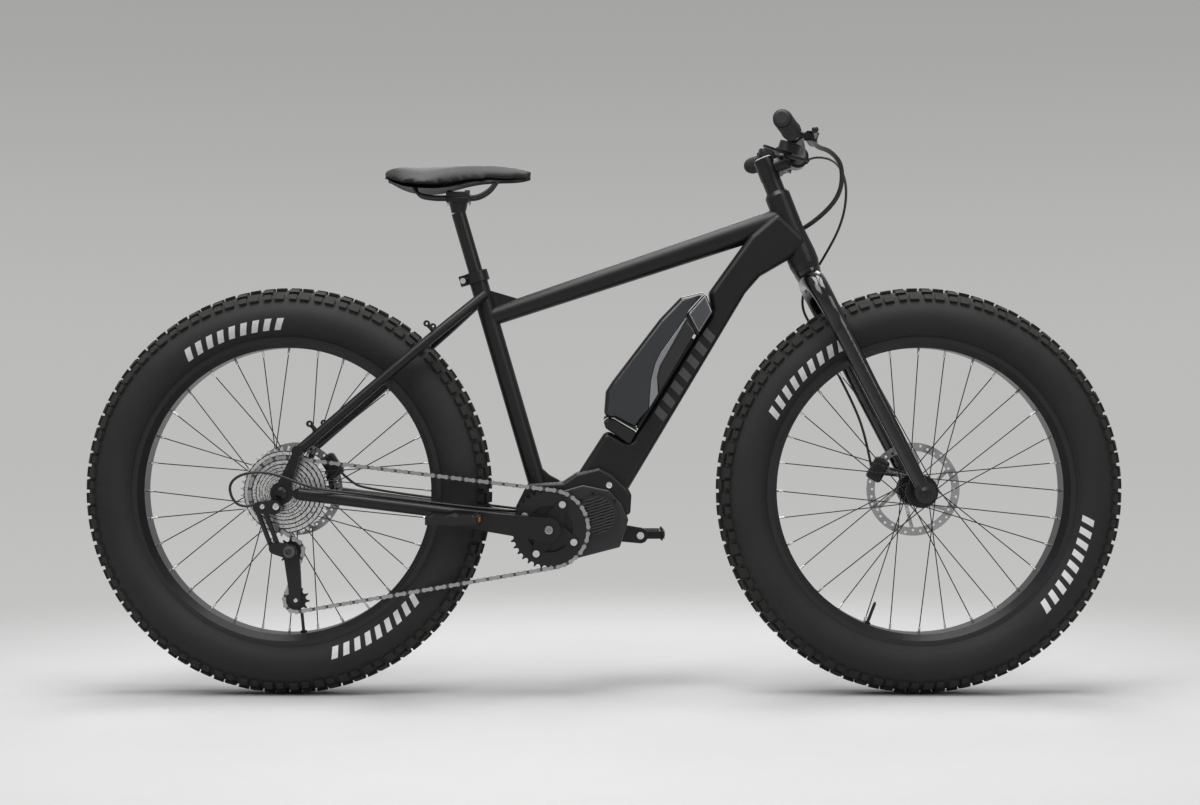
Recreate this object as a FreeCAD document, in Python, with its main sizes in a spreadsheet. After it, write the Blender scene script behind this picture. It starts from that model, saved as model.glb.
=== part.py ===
import FreeCAD, Part
import math
import os
import re

import Sketcher
from FreeCAD import Placement, Rotation, Vector

# A fat-tyre bicycle with a mid-drive motor: +X forward, +Z up, the drive side towards -Y.
# The origin lies on the ground, midway between the two axles.

# Driving dimensions in millimetres and degrees, one spreadsheet cell each.
SIZES = {
    # Wheels
    "wheel_base": 1195.0,
    "tyre_diameter": 770.0,
    "tyre_width": 116.0,
    "tyre_wall": 4.0,
    "knob_height": 6.0,
    "knob_pitches": 48.0,
    "rim_width": 80.0,
    "rim_flange_diameter": 582.0,
    "rim_bed_diameter": 542.0,
    "rim_wall": 3.0,
    "rim_side": 9.0,
    "rim_bed_width": 50.0,
    "bead_depth": 11.0,
    "bead_width": 4.5,
    "spoke_gauge": 2.0,
    "spoke_stagger": 7.0,
    "spoke_clearance": 0.25,
    "spoke_head": 2.2,
    "nipple_gauge": 4.4,
    "nipple_length": 12.0,
    "valve_gauge": 6.0,
    "valve_length": 44.0,
    "valve_nut_gauge": 12.0,
    "valve_nut_height": 4.0,
    "front_flange_diameter": 62.0,
    "front_flange_spread": 92.0,
    "front_core_diameter": 36.0,
    "rear_flange_diameter": 68.0,
    "drive_flange_plane": 46.0,
    "brake_flange_plane": 58.0,
    "rear_core_diameter": 42.0,
    "flange_thickness": 3.4,
    "hub_cap_diameter": 26.0,
    "hub_cap_length": 8.0,
    "disc_seat_diameter": 54.0,
    "disc_seat_width": 5.0,
    "front_fork_width": 150.0,
    "front_axle_diameter": 15.0,
    "rear_frame_width": 197.0,
    "rear_axle_diameter": 12.0,
    "axle_head_diameter": 22.0,
    "axle_head_length": 7.0,
    "disc_diameter": 180.0,
    "disc_thickness": 2.0,
    "disc_band": 16.0,
    "disc_bore": 35.0,
    "disc_carrier_diameter": 66.0,
    "disc_arm_width": 7.0,
    "front_disc_plane": 64.0,
    "rear_disc_plane": 82.0,
    # Drive train
    "chain_pitch": 12.7,
    "ring_teeth": 36.0,
    "chain_line": 68.0,
    "ring_thickness": 2.0,
    "ring_bore_diameter": 88.0,
    "ring_bolt_circle": 104.0,
    "ring_bolt_gauge": 8.0,
    "ring_bolt_head": 13.0,
    "ring_bolt_head_height": 2.0,
    "cog_step": 3.95,
    "cog_thickness": 1.7,
    "cog_bore_diameter": 35.0,
    "roller_diameter": 7.7,
    "roller_seat_diameter": 8.3,
    "tooth_height": 2.6,
    "tooth_tip_width": 2.2,
    "link_inner_gap": 2.4,
    "link_plate": 0.8,
    "link_plate_width": 8.2,
    "link_waist_width": 6.0,
    "link_side_play": 0.06,
    "pin_diameter": 3.6,
    "pulley_teeth": 11.0,
    "pulley_thickness": 2.0,
    "pulley_hub_diameter": 20.0,
    "pulley_hub_width": 6.0,
    "pulley_bolt_diameter": 6.0,
    "chainstay_length": 500.0,
    "bracket_drop": 69.0,
    "crank_length": 175.0,
    "crank_tilt": 7.5,
    "crank_inner_plane": 92.0,
    "crank_thickness": 15.0,
    "crank_boss_diameter": 44.0,
    "crank_eye_diameter": 30.0,
    "crank_spider_thickness": 5.0,
    "crank_spider_arm": 18.0,
    "crank_bolt_diameter": 19.0,
    "crank_bolt_depth": 5.0,
    "spindle_diameter": 24.0,
    "pedal_thread_diameter": 14.0,
    "pedal_collar_diameter": 18.0,
    "pedal_collar_length": 5.0,
    "pedal_axle_diameter": 10.0,
    "pedal_width": 98.0,
    "pedal_length": 96.0,
    "pedal_thickness": 15.0,
    "pedal_barrel_diameter": 19.0,
    "pedal_rail": 11.0,
    "pedal_pin_diameter": 4.0,
    "pedal_pin_height": 4.0,
    "pedal_end_wall": 3.0,
    "derailleur_bolt_drop": 26.0,
    "derailleur_bolt_setback": 11.0,
    "guide_pulley_drop": 110.0,
    "guide_pulley_lead": 13.0,
    "cage_length": 92.0,
    "cage_plate": 2.0,
    "cage_plate_width": 30.0,
    "cage_plane_gap": 8.4,
    "cage_end_margin": 3.0,
    "knuckle_diameter": 27.0,
    "knuckle_depth": 22.0,
    "derailleur_link_diameter": 9.0,
    # Frame
    "seat_tilt": 16.3,
    "seat_tube_diameter": 34.9,
    "seat_tube_length": 497.0,
    "seat_tube_bore": 27.4,
    "head_tilt": 21.5,
    "fork_offset": 43.5,
    "fork_length": 469.0,
    "head_tube_length": 136.0,
    "head_tube_top_diameter": 48.0,
    "head_tube_low_diameter": 57.0,
    "head_tube_bore": 42.0,
    "head_cup_height": 12.0,
    "top_tube_rear_height": 35.0,
    "top_tube_front_height": 48.0,
    "top_tube_rear_width": 33.0,
    "top_tube_front_width": 44.0,
    "top_tube_head_drop": 43.0,
    "top_tube_seat_height": 414.0,
    "down_tube_width": 62.0,
    "down_tube_round": 13.0,
    "gusset_thickness": 7.0,
    "motor_radius": 58.0,
    "motor_width": 114.0,
    "bracket_width": 96.0,
    "motor_round": 8.0,
    "motor_cover_diameter": 78.0,
    "motor_cover_depth": 5.0,
    "motor_rib_width": 3.0,
    "motor_rib_pitch": 6.5,
    "motor_rib_height": 2.5,
    "stay_diameter": 19.0,
    "chainstay_diameter": 23.0,
    "dropout_thickness": 9.0,
    "dropout_radius": 21.0,
    "eyelet_diameter": 12.0,
    "eyelet_hole": 5.0,
    "eyelet_width": 8.0,
    "battery_width": 84.0,
    "battery_round": 12.0,
    "battery_rail_width": 44.0,
    "battery_foot_width": 70.0,
    "battery_gap": 0.5,
    "seat_clamp_height": 20.0,
    "seat_clamp_wall": 4.5,
    "seat_clamp_ear": 12.0,
    "seat_clamp_slot": 2.0,
    # Seat
    "seatpost_diameter": 27.2,
    "seatpost_reach": 622.0,
    "seatpost_insert": 150.0,
    "saddle_length": 273.0,
    "saddle_width": 148.0,
    "saddle_height": 1001.0,
    "saddle_tail": -413.0,
    "saddle_depth": 45.0,
    "saddle_shell_wall": 4.0,
    "rail_clamp_length": 44.0,
    "rail_clamp_height": 10.0,
    "rail_diameter": 7.0,
    "rail_spread": 44.0,
    "rail_level": 941.0,
    # Steering
    "steerer_diameter": 28.6,
    "steerer_low_diameter": 38.0,
    "spacer_diameter": 36.0,
    "spacer_height": 24.0,
    "stem_length": 60.0,
    "stem_height": 40.0,
    "stem_clamp_diameter": 38.0,
    "stem_clamp_width": 46.0,
    "bar_clamp_diameter": 31.8,
    "bar_diameter": 22.2,
    "bar_width": 720.0,
    "bar_rise": 27.0,
    "bar_sweep": 60.0,
    "grip_length": 132.0,
    "grip_diameter": 31.0,
    "grip_flange": 36.0,
    "fork_leg_plane": 83.0,
    "fork_boss_diameter": 40.0,
    "fork_boss_width": 16.0,
    "top_cap_height": 5.0,
    "crown_height": 40.0,
    "crown_depth": 46.0,
    "leg_top_depth": 38.0,
    "leg_low_depth": 25.0,
    "leg_top_width": 27.0,
    "leg_low_width": 17.0,
    "lever_clamp_width": 14.0,
    "lever_clamp_wall": 5.0,
    "lever_gap": 3.0,
    "lever_reach": 44.0,
    "lever_length": 98.0,
    "lever_blade": 12.0,
    "lever_drop": 18.0,
    "cylinder_diameter": 18.0,
    "cylinder_length": 66.0,
    "pivot_diameter": 5.0,
    "pod_diameter": 40.0,
    "pod_height": 18.0,
    "pod_drop": 26.0,
    "pod_setback": 30.0,
    "paddle_thickness": 4.0,
    "paddle_length": 40.0,
    "paddle_width": 15.0,
    "rocker_length": 22.0,
    "rocker_width": 13.0,
    "display_length": 40.0,
    "display_width": 50.0,
    "display_height": 11.0,
    "caliper_length": 46.0,
    "caliper_depth": 30.0,
    "caliper_width": 26.0,
    "caliper_slot": 4.0,
    "bundle_diameter": 9.0,
    "hose_diameter": 5.0,
    # Clearances
    "running_clearance": 0.06,
    "seat_clearance": 0.02,
    "side_clearance": 0.35,
    "overrun": 5.0,
}

doc = FreeCAD.newDocument("fat_tyre_bike")
sheet = doc.addObject("Spreadsheet::Sheet", "Sizes")
for row, (name, value) in enumerate(SIZES.items(), start=1):
    sheet.set(f"A{row}", name)
    sheet.set(f"B{row}", str(value))
    sheet.setAlias(f"B{row}", name)
doc.recompute()

NODES = []
WORD = re.compile(r"[a-z_]+")
ORIGIN = Vector(0, 0, 0)
ACROSS = Vector(0, 1, 0)
UP = Vector(0, 0, 1)
FULL_TURN = 360


def size(name):
    """One driving dimension, read from the sheet."""
    return float(sheet.get(name))


def bound(formula):
    """A formula in sheet aliases, written the way the expression engine reads it."""
    return WORD.sub(lambda found: "Sizes." + found.group(0), formula)


def node(obj):
    """Keep an object as one sub-part of the bicycle."""
    NODES.append(obj)
    return obj


def feature(label, shape):
    """A sub-part whose shape is worked out from the sheet."""
    obj = doc.addObject("Part::Feature", label)
    obj.Shape = shape
    return node(obj)


def sketch_on(body, role, formulas):
    """A closed outline of straight edges whose corners follow formulas of the sheet."""
    sketch = body.newObject("Sketcher::SketchObject", body.Name + "_outline")
    plane = [item for item in body.Origin.OriginFeatures if item.Role == role][0]
    sketch.AttachmentSupport = (plane, [""])
    sketch.MapMode = "FlatFace"
    formulas = [(bound(across), bound(along)) for across, along in formulas]
    places = [Vector(float(body.evalExpression(a)), float(body.evalExpression(b)), 0) for a, b in formulas]
    count = len(places)
    sketch.addGeometry([Part.LineSegment(places[i], places[(i + 1) % count]) for i in range(count)], False)
    sketch.addConstraint([Sketcher.Constraint("Coincident", i, 2, (i + 1) % count, 1) for i in range(count)])
    for i, (across, along) in enumerate(formulas):
        index = sketch.addConstraint(Sketcher.Constraint("DistanceX", -1, 1, i, 1, places[i].x))
        sketch.setExpression(f"Constraints[{index}]", across)
        index = sketch.addConstraint(Sketcher.Constraint("DistanceY", -1, 1, i, 1, places[i].y))
        sketch.setExpression(f"Constraints[{index}]", along)
    return sketch


def turned(label, role, formulas):
    """A body of revolution about the upright axis of its sketch: (radius, place along the axis)."""
    body = doc.addObject("PartDesign::Body", label)
    sketch = sketch_on(body, role, formulas)
    turn = body.newObject("PartDesign::Revolution", label + "_turn")
    turn.Profile = sketch
    turn.ReferenceAxis = (sketch, ["V_Axis"])
    turn.Angle = FULL_TURN
    return body


def cylinder(label, radius, height, place):
    """A round bar along its own Z axis, sized by two formulas."""
    bar = doc.addObject("Part::Cylinder", label)
    bar.setExpression("Radius", bound(radius))
    bar.setExpression("Height", bound(height))
    bar.Placement = place
    return bar


def joined(label, pieces):
    """One solid made of several overlapping ones."""
    fuse = doc.addObject("Part::MultiFuse", label)
    fuse.Shapes = pieces
    fuse.Refine = True
    return fuse


def removed(label, base, tool):
    """A base with one tool cut out of it."""
    cut = doc.addObject("Part::Cut", label)
    cut.Base = base
    cut.Tool = tool
    return cut


def grouped(label, pieces):
    """Several separate solids that share one sub-part."""
    group = doc.addObject("Part::Compound", label)
    group.Links = pieces
    return node(group)


def mirrored(label, piece):
    """The left-hand twin of a right-hand piece."""
    twin = doc.addObject("Part::Mirroring", label)
    twin.Source = piece
    twin.Normal = ACROSS
    return twin


def both_sides(shape):
    """A shape and its mirror image across the bicycle's middle plane."""
    return Part.makeCompound([shape, shape.mirror(ORIGIN, ACROSS)])


def prism(points, half_width):
    """A side outline made into a plate that reaches half_width each side of the middle plane."""
    places = [Vector(x, -half_width, z) for x, z in points]
    face = Part.Face(Part.makePolygon(places + places[:1]))
    return face.extrude(Vector(0, 2 * half_width, 0))


def rounded(solid, radius, chosen):
    """A solid with the chosen edges rounded."""
    return solid.makeFillet(radius, [edge for edge in solid.Edges if chosen(edge)])


def on_side(half_width):
    """A test for edges that lie on either flat side of a prism."""
    def test(edge):
        return all(abs(abs(v.Y) - half_width) < size("seat_clearance") for v in edge.Vertexes)
    return test


def bar(start, end, radius):
    """A round bar from one point to another."""
    return Part.makeCylinder(radius, (end - start).Length, start, end - start)


def route(points):
    """A path of straight runs and tangent arcs, each arc as large as its runs allow, and its least radius."""
    bend_share = 0.45
    edges = []
    radii = []
    last = points[0]
    for before, corner, after in zip(points, points[1:], points[2:]):
        back = before - corner
        ahead = after - corner
        reach = bend_share * min(back.Length, ahead.Length)
        back.normalize()
        ahead.normalize()
        turn = math.pi - back.getAngle(ahead)
        radii.append(reach / math.tan(turn / 2))
        middle = back + ahead
        middle.normalize()
        entry = corner + back * reach
        leave = corner + ahead * reach
        depth = radii[-1] / math.cos(turn / 2) - radii[-1]
        edges.append(Part.LineSegment(last, entry).toShape())
        edges.append(Part.Arc(entry, corner + middle * depth, leave).toShape())
        last = leave
    edges.append(Part.LineSegment(last, points[-1]).toShape())
    return Part.Wire(edges), min(radii)


def swept(points, radius):
    """A round tube of one gauge along a route."""
    path, _ = route(points)
    start = Part.Circle(points[0], points[1] - points[0], radius).toShape()
    return path.makePipeShell([Part.Wire([start])], True, False)


def cord(name, points, radius):
    """A cable along its route, with its length and its tightest bend printed."""
    path, least = route(points)
    tube = swept(points, radius)
    fill = tube.Volume / (math.pi * radius ** 2 * path.Length)
    print(f"{name}: length {path.Length:.0f} mm, least radius {least:.1f} mm, volume share {fill:.4f}")
    return tube


def oval(centre, along, side, half_side, half_other):
    """An elliptical section square to a direction, with half_side measured along side."""
    along = Vector(along).normalize()
    side = Vector(side) - along * Vector(side).dot(along)
    side.normalize()
    other = along.cross(side)
    big, small = (half_side, half_other) if half_side >= half_other else (half_other, half_side)
    first, second = (side, other) if half_side >= half_other else (other, side)
    ellipse = Part.Ellipse(centre + first * big, centre + second * small, centre)
    return Part.Wire([ellipse.toShape()])


def lofted(sections):
    """A closed solid through a row of sections."""
    return Part.makeLoft(sections, True, False)


# Key points of the side view
WHEEL_RADIUS = size("tyre_diameter") / 2
HALF_BASE = size("wheel_base") / 2
REAR_AXLE = Vector(-HALF_BASE, 0, WHEEL_RADIUS)
FRONT_AXLE = Vector(HALF_BASE, 0, WHEEL_RADIUS)
STAY_RUN = math.sqrt(size("chainstay_length") ** 2 - size("bracket_drop") ** 2)
BRACKET = Vector(STAY_RUN - HALF_BASE, 0, WHEEL_RADIUS - size("bracket_drop"))
HEAD_TURN = Rotation(ACROSS, -size("head_tilt"))
SEAT_TURN = Rotation(ACROSS, -size("seat_tilt"))
STEER_UP = HEAD_TURN.multVec(UP)
STEER_AHEAD = HEAD_TURN.multVec(Vector(1, 0, 0))
STEER_FOOT = FRONT_AXLE - STEER_AHEAD * size("fork_offset")
SEAT_UP = SEAT_TURN.multVec(UP)
SEAT_AHEAD = SEAT_TURN.multVec(Vector(1, 0, 0))
HEAD_LOW = size("fork_length") + size("head_cup_height")
HEAD_TOP = HEAD_LOW + size("head_tube_length")
SPACER_LOW = HEAD_TOP + size("head_cup_height")
STEM_LOW = SPACER_LOW + size("spacer_height")
STEM_MIDDLE = STEM_LOW + size("stem_height") / 2
RIGHT = Vector(0, -1, 0)


def steer(along, ahead=0.0, left=0.0):
    """A point in the steering frame: up the steering axis, ahead of it, and to the left."""
    return STEER_FOOT + STEER_UP * along + STEER_AHEAD * ahead + ACROSS * left


def seat(along, ahead=0.0, left=0.0):
    """A point in the seat tube's frame: up its axis, ahead of it, and to the left."""
    return BRACKET + SEAT_UP * along + SEAT_AHEAD * ahead + ACROSS * left


def on_axle(point):
    """A placement whose Y axis runs along an axle through a point."""
    return Placement(point, Rotation())


def crosswise(point):
    """A placement whose own Z axis points to the right of the bicycle."""
    return Placement(point, Rotation(UP, RIGHT))


# Tyres: a hollow casing with rows of knobs, made as one sector and sewn into a ring
SIDE_RISE_SHARE = 0.4
SHOULDER_RISE_SHARE = 0.76
SHOULDER_WIDTH_SHARE = 0.76
KNOB_ROOT_SHARE = 0.5
# Each knob: from and to across the crown, as shares of the shoulder, then from and to along the pitch
KNOB_SHARES = (
    (0.04, 0.26, 0.06, 0.44),
    (-0.26, -0.04, 0.54, 0.92),
    (0.34, 0.58, 0.52, 0.90),
    (-0.58, -0.34, 0.06, 0.44),
    (0.66, 0.97, 0.06, 0.42),
    (-0.97, -0.66, 0.54, 0.90),
    (0.74, 0.97, 0.58, 0.86),
    (-0.97, -0.74, 0.12, 0.40),
)


def tyre_solid():
    """One tyre about the Y axis."""
    flange = size("rim_flange_diameter") / 2
    crown = size("tyre_diameter") / 2 - size("knob_height")
    rise = crown - flange
    half = size("tyre_width") / 2
    wall = size("tyre_wall")
    seat_face = size("rim_width") / 2 - size("rim_wall") - size("side_clearance")
    lip = flange + size("side_clearance")
    bead_foot = flange - size("bead_depth") + size("side_clearance")
    toe = seat_face - size("bead_width")
    widest = flange + rise * SIDE_RISE_SHARE
    shoulder = flange + rise * SHOULDER_RISE_SHARE
    shoulder_half = half * SHOULDER_WIDTH_SHARE

    def at(radius, side):
        return Vector(radius, side, 0)

    def arc(one, two, three):
        return Part.Arc(at(*one), at(*two), at(*three)).toShape()

    def line(one, two):
        return Part.LineSegment(at(*one), at(*two)).toShape()

    lip_half = seat_face + size("rim_wall")
    outer = [
        arc((lip, -lip_half), (widest, -half), (shoulder, -shoulder_half)),
        arc((shoulder, -shoulder_half), (crown, 0), (shoulder, shoulder_half)),
        arc((shoulder, shoulder_half), (widest, half), (lip, lip_half)),
    ]
    inner = [
        arc((lip, toe), (widest, half - wall), (shoulder - wall / 2, shoulder_half - wall)),
        arc((shoulder - wall / 2, shoulder_half - wall), (crown - wall, 0),
            (shoulder - wall / 2, wall - shoulder_half)),
        arc((shoulder - wall / 2, wall - shoulder_half), (widest, wall - half), (lip, -toe)),
    ]
    left_bead = [
        line((lip, lip_half), (lip, seat_face)),
        line((lip, seat_face), (bead_foot, seat_face)),
        line((bead_foot, seat_face), (bead_foot, toe)),
        line((bead_foot, toe), (lip, toe)),
    ]
    right_bead = [
        line((lip, -toe), (bead_foot, -toe)),
        line((bead_foot, -toe), (bead_foot, -seat_face)),
        line((bead_foot, -seat_face), (lip, -seat_face)),
        line((lip, -seat_face), (lip, -lip_half)),
    ]
    section = Part.Face(Part.Wire(outer + left_bead + inner + right_bead))
    pitch = FULL_TURN / size("knob_pitches")
    sector = section.revolve(ORIGIN, ACROSS, pitch)
    crown_arc = outer[1].Curve
    centre = crown_arc.Center.x
    curve = crown_arc.Radius
    spread = math.asin(shoulder_half / curve)
    root = curve - wall * KNOB_ROOT_SHARE
    top = curve + size("knob_height")

    def knob(first, last, begin, end):
        corners = [(root, first), (top, first), (top, last), (root, last)]
        places = [at(centre + r * math.cos(a * spread), r * math.sin(a * spread)) for r, a in corners]
        block = Part.Face(Part.makePolygon(places + places[:1])).revolve(ORIGIN, ACROSS, pitch * (end - begin))
        block.rotate(ORIGIN, ACROSS, pitch * begin)
        return block

    sector = sector.fuse([knob(*shares) for shares in KNOB_SHARES])
    ends = (Vector(0, 0, 1), Rotation(ACROSS, pitch).multVec(Vector(0, 0, 1)))

    def is_end(face):
        return any(all(abs(v.Point.dot(normal)) < Part.Precision.confusion() * 10 for v in face.Vertexes)
                   for normal in ends)

    skin = [face for face in sector.Faces if not is_end(face)]
    faces = []
    for index in range(round(size("knob_pitches"))):
        for face in skin:
            turn = face.copy()
            turn.rotate(ORIGIN, ACROSS, index * pitch)
            faces.append(turn)
    shell = Part.makeCompound(faces)
    shell.sewShape()
    solid = Part.Solid(shell.Shells[0])
    if solid.Volume < 0:
        solid.reverse()
    return solid


# Rims, spokes, hubs, discs and axles
def make_rim(label, centre):
    """A single-wall rim with a raised side box and hooked flanges."""
    bed = "rim_bed_diameter / 2"
    flange = "rim_flange_diameter / 2"
    half = "rim_width / 2"
    right = [
        (flange, f"-{half}"),
        (f"{flange} - rim_side", f"-{half}"),
        (bed, "-rim_bed_width / 2"),
    ]
    inside = [
        (f"{bed} + rim_wall", "rim_bed_width / 2 - rim_wall"),
        (f"{flange} - bead_depth", f"{half} - rim_wall - bead_width - rim_wall"),
        (f"{flange} - bead_depth", f"{half} - rim_wall"),
        (flange, f"{half} - rim_wall"),
    ]

    def other_side(points):
        return [(across, f"0 - ({along})") for across, along in reversed(points)]

    outline = right + other_side(right) + list(reversed(inside)) + [(a, f"0 - ({b})") for a, b in inside]
    rim = turned(label + "_hoop", "XY_Plane", outline)
    rim.Placement = on_axle(centre)
    return rim


def make_valve(label, centre, angle):
    """A slim valve stem with its lock nut, standing on the inside of the rim."""
    seat_radius = "rim_bed_diameter / 2 - seat_clearance"
    stem = turned(label, "XY_Plane", [
        ("0", "0"),
        ("valve_nut_gauge / 2", "0"),
        ("valve_nut_gauge / 2", "valve_nut_height"),
        ("valve_gauge / 2", "valve_nut_height"),
        ("valve_gauge / 2", "valve_length - valve_nut_height"),
        ("valve_gauge / 4", "valve_length"),
        ("0", "valve_length"),
    ])
    inward = Vector(-math.cos(angle), 0, -math.sin(angle))
    reach = float(stem.evalExpression(bound(seat_radius)))
    stem.Placement = Placement(centre - inward * reach, Rotation(ACROSS, inward))
    return stem


SPOKES = 32
SPOKE_CROSSINGS = 3


def spokes_solid(right_plane, left_plane, flange_diameter):
    """Thirty-two crossed spokes with their nipples, about the Y axis."""
    gauge = size("spoke_gauge") / 2
    hole_circle = flange_diameter / 2 - 2 * size("spoke_gauge")
    rim_seat = size("rim_bed_diameter") / 2 - size("spoke_clearance")
    lift = size("flange_thickness") / 2 + gauge + size("spoke_clearance") + size("spoke_head")
    step = FULL_TURN / SPOKES
    lean = SPOKE_CROSSINGS * 2 * step
    repeats = SPOKES // 4

    def around(radius, degrees, side):
        angle = math.radians(degrees)
        return Vector(radius * math.cos(angle), side, radius * math.sin(angle))

    def spoke(rim_angle, plane, outward, lean_sign):
        start = around(hole_circle, rim_angle + lean_sign * lean, plane + outward * lift)
        end = around(rim_seat, rim_angle, math.copysign(size("spoke_stagger"), plane))
        inward = (start - end).normalize()
        wire = bar(start, end + inward * size("nipple_gauge") / 2, gauge)
        nipple = bar(end + inward * size("spoke_clearance"), end + inward * size("nipple_length"),
                     size("nipple_gauge") / 2)
        return wire.fuse(nipple)

    first_set = [
        spoke(0, -right_plane, -1, 1),
        spoke(step, left_plane, 1, 1),
        spoke(2 * step, -right_plane, 1, -1),
        spoke(3 * step, left_plane, -1, -1),
    ]
    wires = []
    for index in range(repeats):
        for piece in first_set:
            turn = piece.copy()
            turn.rotate(ORIGIN, ACROSS, index * FULL_TURN / repeats)
            wires.append(turn)
    return Part.makeCompound(wires)


def hub_outline(axle, core, flange, right_plane, left_plane, right_end, left_end, disc_plane):
    """The turned outline of a hub: bore, end caps, two spoke flanges and the disc seat."""
    bore = f"{axle} / 2 + running_clearance"
    thick = "flange_thickness / 2"
    seat_face = f"{disc_plane} - disc_thickness / 2"
    spigot = "disc_bore / 2 - seat_clearance"
    return [
        (bore, f"0 - ({right_end})"),
        ("hub_cap_diameter / 2", f"0 - ({right_end})"),
        ("hub_cap_diameter / 2", f"hub_cap_length - ({right_end})"),
        (f"{core} / 2", f"0 - {right_plane} - 2 * flange_thickness"),
        (f"{core} / 2", f"0 - {right_plane} - {thick}"),
        (f"{flange} / 2", f"0 - {right_plane} - {thick}"),
        (f"{flange} / 2", f"{thick} - {right_plane}"),
        (f"{core} / 2", f"{thick} - {right_plane}"),
        (f"{core} / 2", f"{left_plane} - {thick}"),
        (f"{flange} / 2", f"{left_plane} - {thick}"),
        (f"{flange} / 2", f"{left_plane} + {thick}"),
        (f"{core} / 2", f"{left_plane} + {thick}"),
        (f"{core} / 2", f"{seat_face} - disc_seat_width"),
        ("disc_seat_diameter / 2", f"{seat_face} - disc_seat_width"),
        ("disc_seat_diameter / 2", seat_face),
        (spigot, seat_face),
        (spigot, f"{disc_plane} + disc_thickness"),
        ("hub_cap_diameter / 2", f"{disc_plane} + 2 * disc_thickness"),
        ("hub_cap_diameter / 2", left_end),
        (bore, left_end),
    ]


DISC_ARMS = 6
DISC_HOLES = 36
DISC_HOLE_SHARE = 0.32


def disc_solid():
    """A brake disc: a drilled band carried by slanting arms on a centre ring."""
    outer = size("disc_diameter") / 2
    band = outer - size("disc_band")
    thick = size("disc_thickness")
    carrier = size("disc_carrier_diameter") / 2
    base = Vector(0, -thick / 2, 0)

    def ring(large, small):
        return Part.makeCylinder(large, thick, base, ACROSS).cut(Part.makeCylinder(small, thick, base, ACROSS))

    hole = size("disc_band") * DISC_HOLE_SHARE / 2
    drills = []
    for index in range(DISC_HOLES):
        angle = 2 * math.pi * index / DISC_HOLES
        reach = band + size("disc_band") * (DISC_HOLE_SHARE + (index % 3) * DISC_HOLE_SHARE / 2)
        spot = Vector(reach * math.cos(angle), -thick / 2, reach * math.sin(angle))
        drills.append(Part.makeCylinder(hole, thick, spot, ACROSS))
    rim = ring(outer, band).cut(drills)
    arms = []
    lean_share = 0.5
    for index in range(DISC_ARMS):
        inner_angle = 2 * math.pi * index / DISC_ARMS
        outer_angle = inner_angle + lean_share
        start = Vector(math.cos(inner_angle), 0, math.sin(inner_angle)) * (carrier - size("disc_arm_width") / 2)
        end = Vector(math.cos(outer_angle), 0, math.sin(outer_angle)) * (band + size("disc_arm_width") / 4)
        side = (end - start).cross(ACROSS).normalize() * size("disc_arm_width") / 2
        corners = [point + base for point in (start + side, end + side, end - side, start - side)]
        arms.append(Part.Face(Part.makePolygon(corners + corners[:1])).extrude(ACROSS * thick))
    return ring(carrier, size("disc_bore") / 2).fuse(arms + [rim]).removeSplitter()


def make_axle(label, centre, gauge, half_width, thickness):
    """A through axle with a round head outside each fork end."""
    reach = f"{half_width} + {thickness} + seat_clearance"
    axle = turned(label, "XY_Plane", [
        ("0", f"0 - ({reach}) - axle_head_length"),
        ("axle_head_diameter / 4", f"0 - ({reach}) - axle_head_length"),
        ("axle_head_diameter / 2", f"0 - ({reach}) - axle_head_length / 2"),
        ("axle_head_diameter / 2", f"0 - ({reach})"),
        (f"{gauge} / 2", f"0 - ({reach})"),
        (f"{gauge} / 2", reach),
        ("axle_head_diameter / 2", reach),
        ("axle_head_diameter / 2", f"{reach} + axle_head_length / 2"),
        ("axle_head_diameter / 4", f"{reach} + axle_head_length"),
        ("0", f"{reach} + axle_head_length"),
    ])
    axle.Placement = on_axle(centre)
    return node(axle)


FRONT_VALVE_ANGLE = math.radians(249)
REAR_VALVE_ANGLE = math.radians(275.6)


def build_wheel(side, centre, tyre, right_plane, left_plane, flange, core, ends, axle, disc_plane, valve_angle):
    """Tyre, rim with its valve, spokes, hub and brake disc of one wheel."""
    cover = feature(f"{side}_tyre", tyre)
    cover.Placement = on_axle(centre)
    hoop = make_rim(f"{side}_rim", centre)
    stem = make_valve(f"{side}_valve", centre, valve_angle)
    grouped(f"{side}_rim", [hoop, stem])
    right_end, left_end = ends
    hub = turned(f"{side}_hub", "XY_Plane", hub_outline(
        axle, core, flange, right_plane, left_plane, right_end, left_end, disc_plane))
    hub.Placement = on_axle(centre)
    node(hub)
    probe = hub.evalExpression
    planes = [float(probe(bound(plane))) for plane in (right_plane, left_plane)]
    spokes = feature(f"{side}_spokes", spokes_solid(*planes, size(flange)))
    spokes.Placement = on_axle(centre)
    disc = feature(f"{side}_brake_disc", disc_solid())
    disc.Placement = on_axle(centre + ACROSS * size(disc_plane))


TYRE = tyre_solid()
FRONT_END = "front_fork_width / 2 - side_clearance"
REAR_END = "rear_frame_width / 2 - side_clearance"
CARRIER_END = "drive_flange_plane + 3 * flange_thickness"
build_wheel("front", FRONT_AXLE, TYRE, "front_flange_spread / 2", "front_flange_spread / 2",
            "front_flange_diameter", "front_core_diameter", (FRONT_END, FRONT_END),
            "front_axle_diameter", "front_disc_plane", FRONT_VALVE_ANGLE)
build_wheel("rear", REAR_AXLE, TYRE, "drive_flange_plane", "brake_flange_plane",
            "rear_flange_diameter", "rear_core_diameter", (CARRIER_END, REAR_END),
            "rear_axle_diameter", "rear_disc_plane", REAR_VALVE_ANGLE)
make_axle("front_axle", FRONT_AXLE, "front_axle_diameter", "front_fork_width / 2", "fork_boss_width")
make_axle("rear_axle", REAR_AXLE, "rear_axle_diameter", "rear_frame_width / 2", "dropout_thickness")


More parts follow.
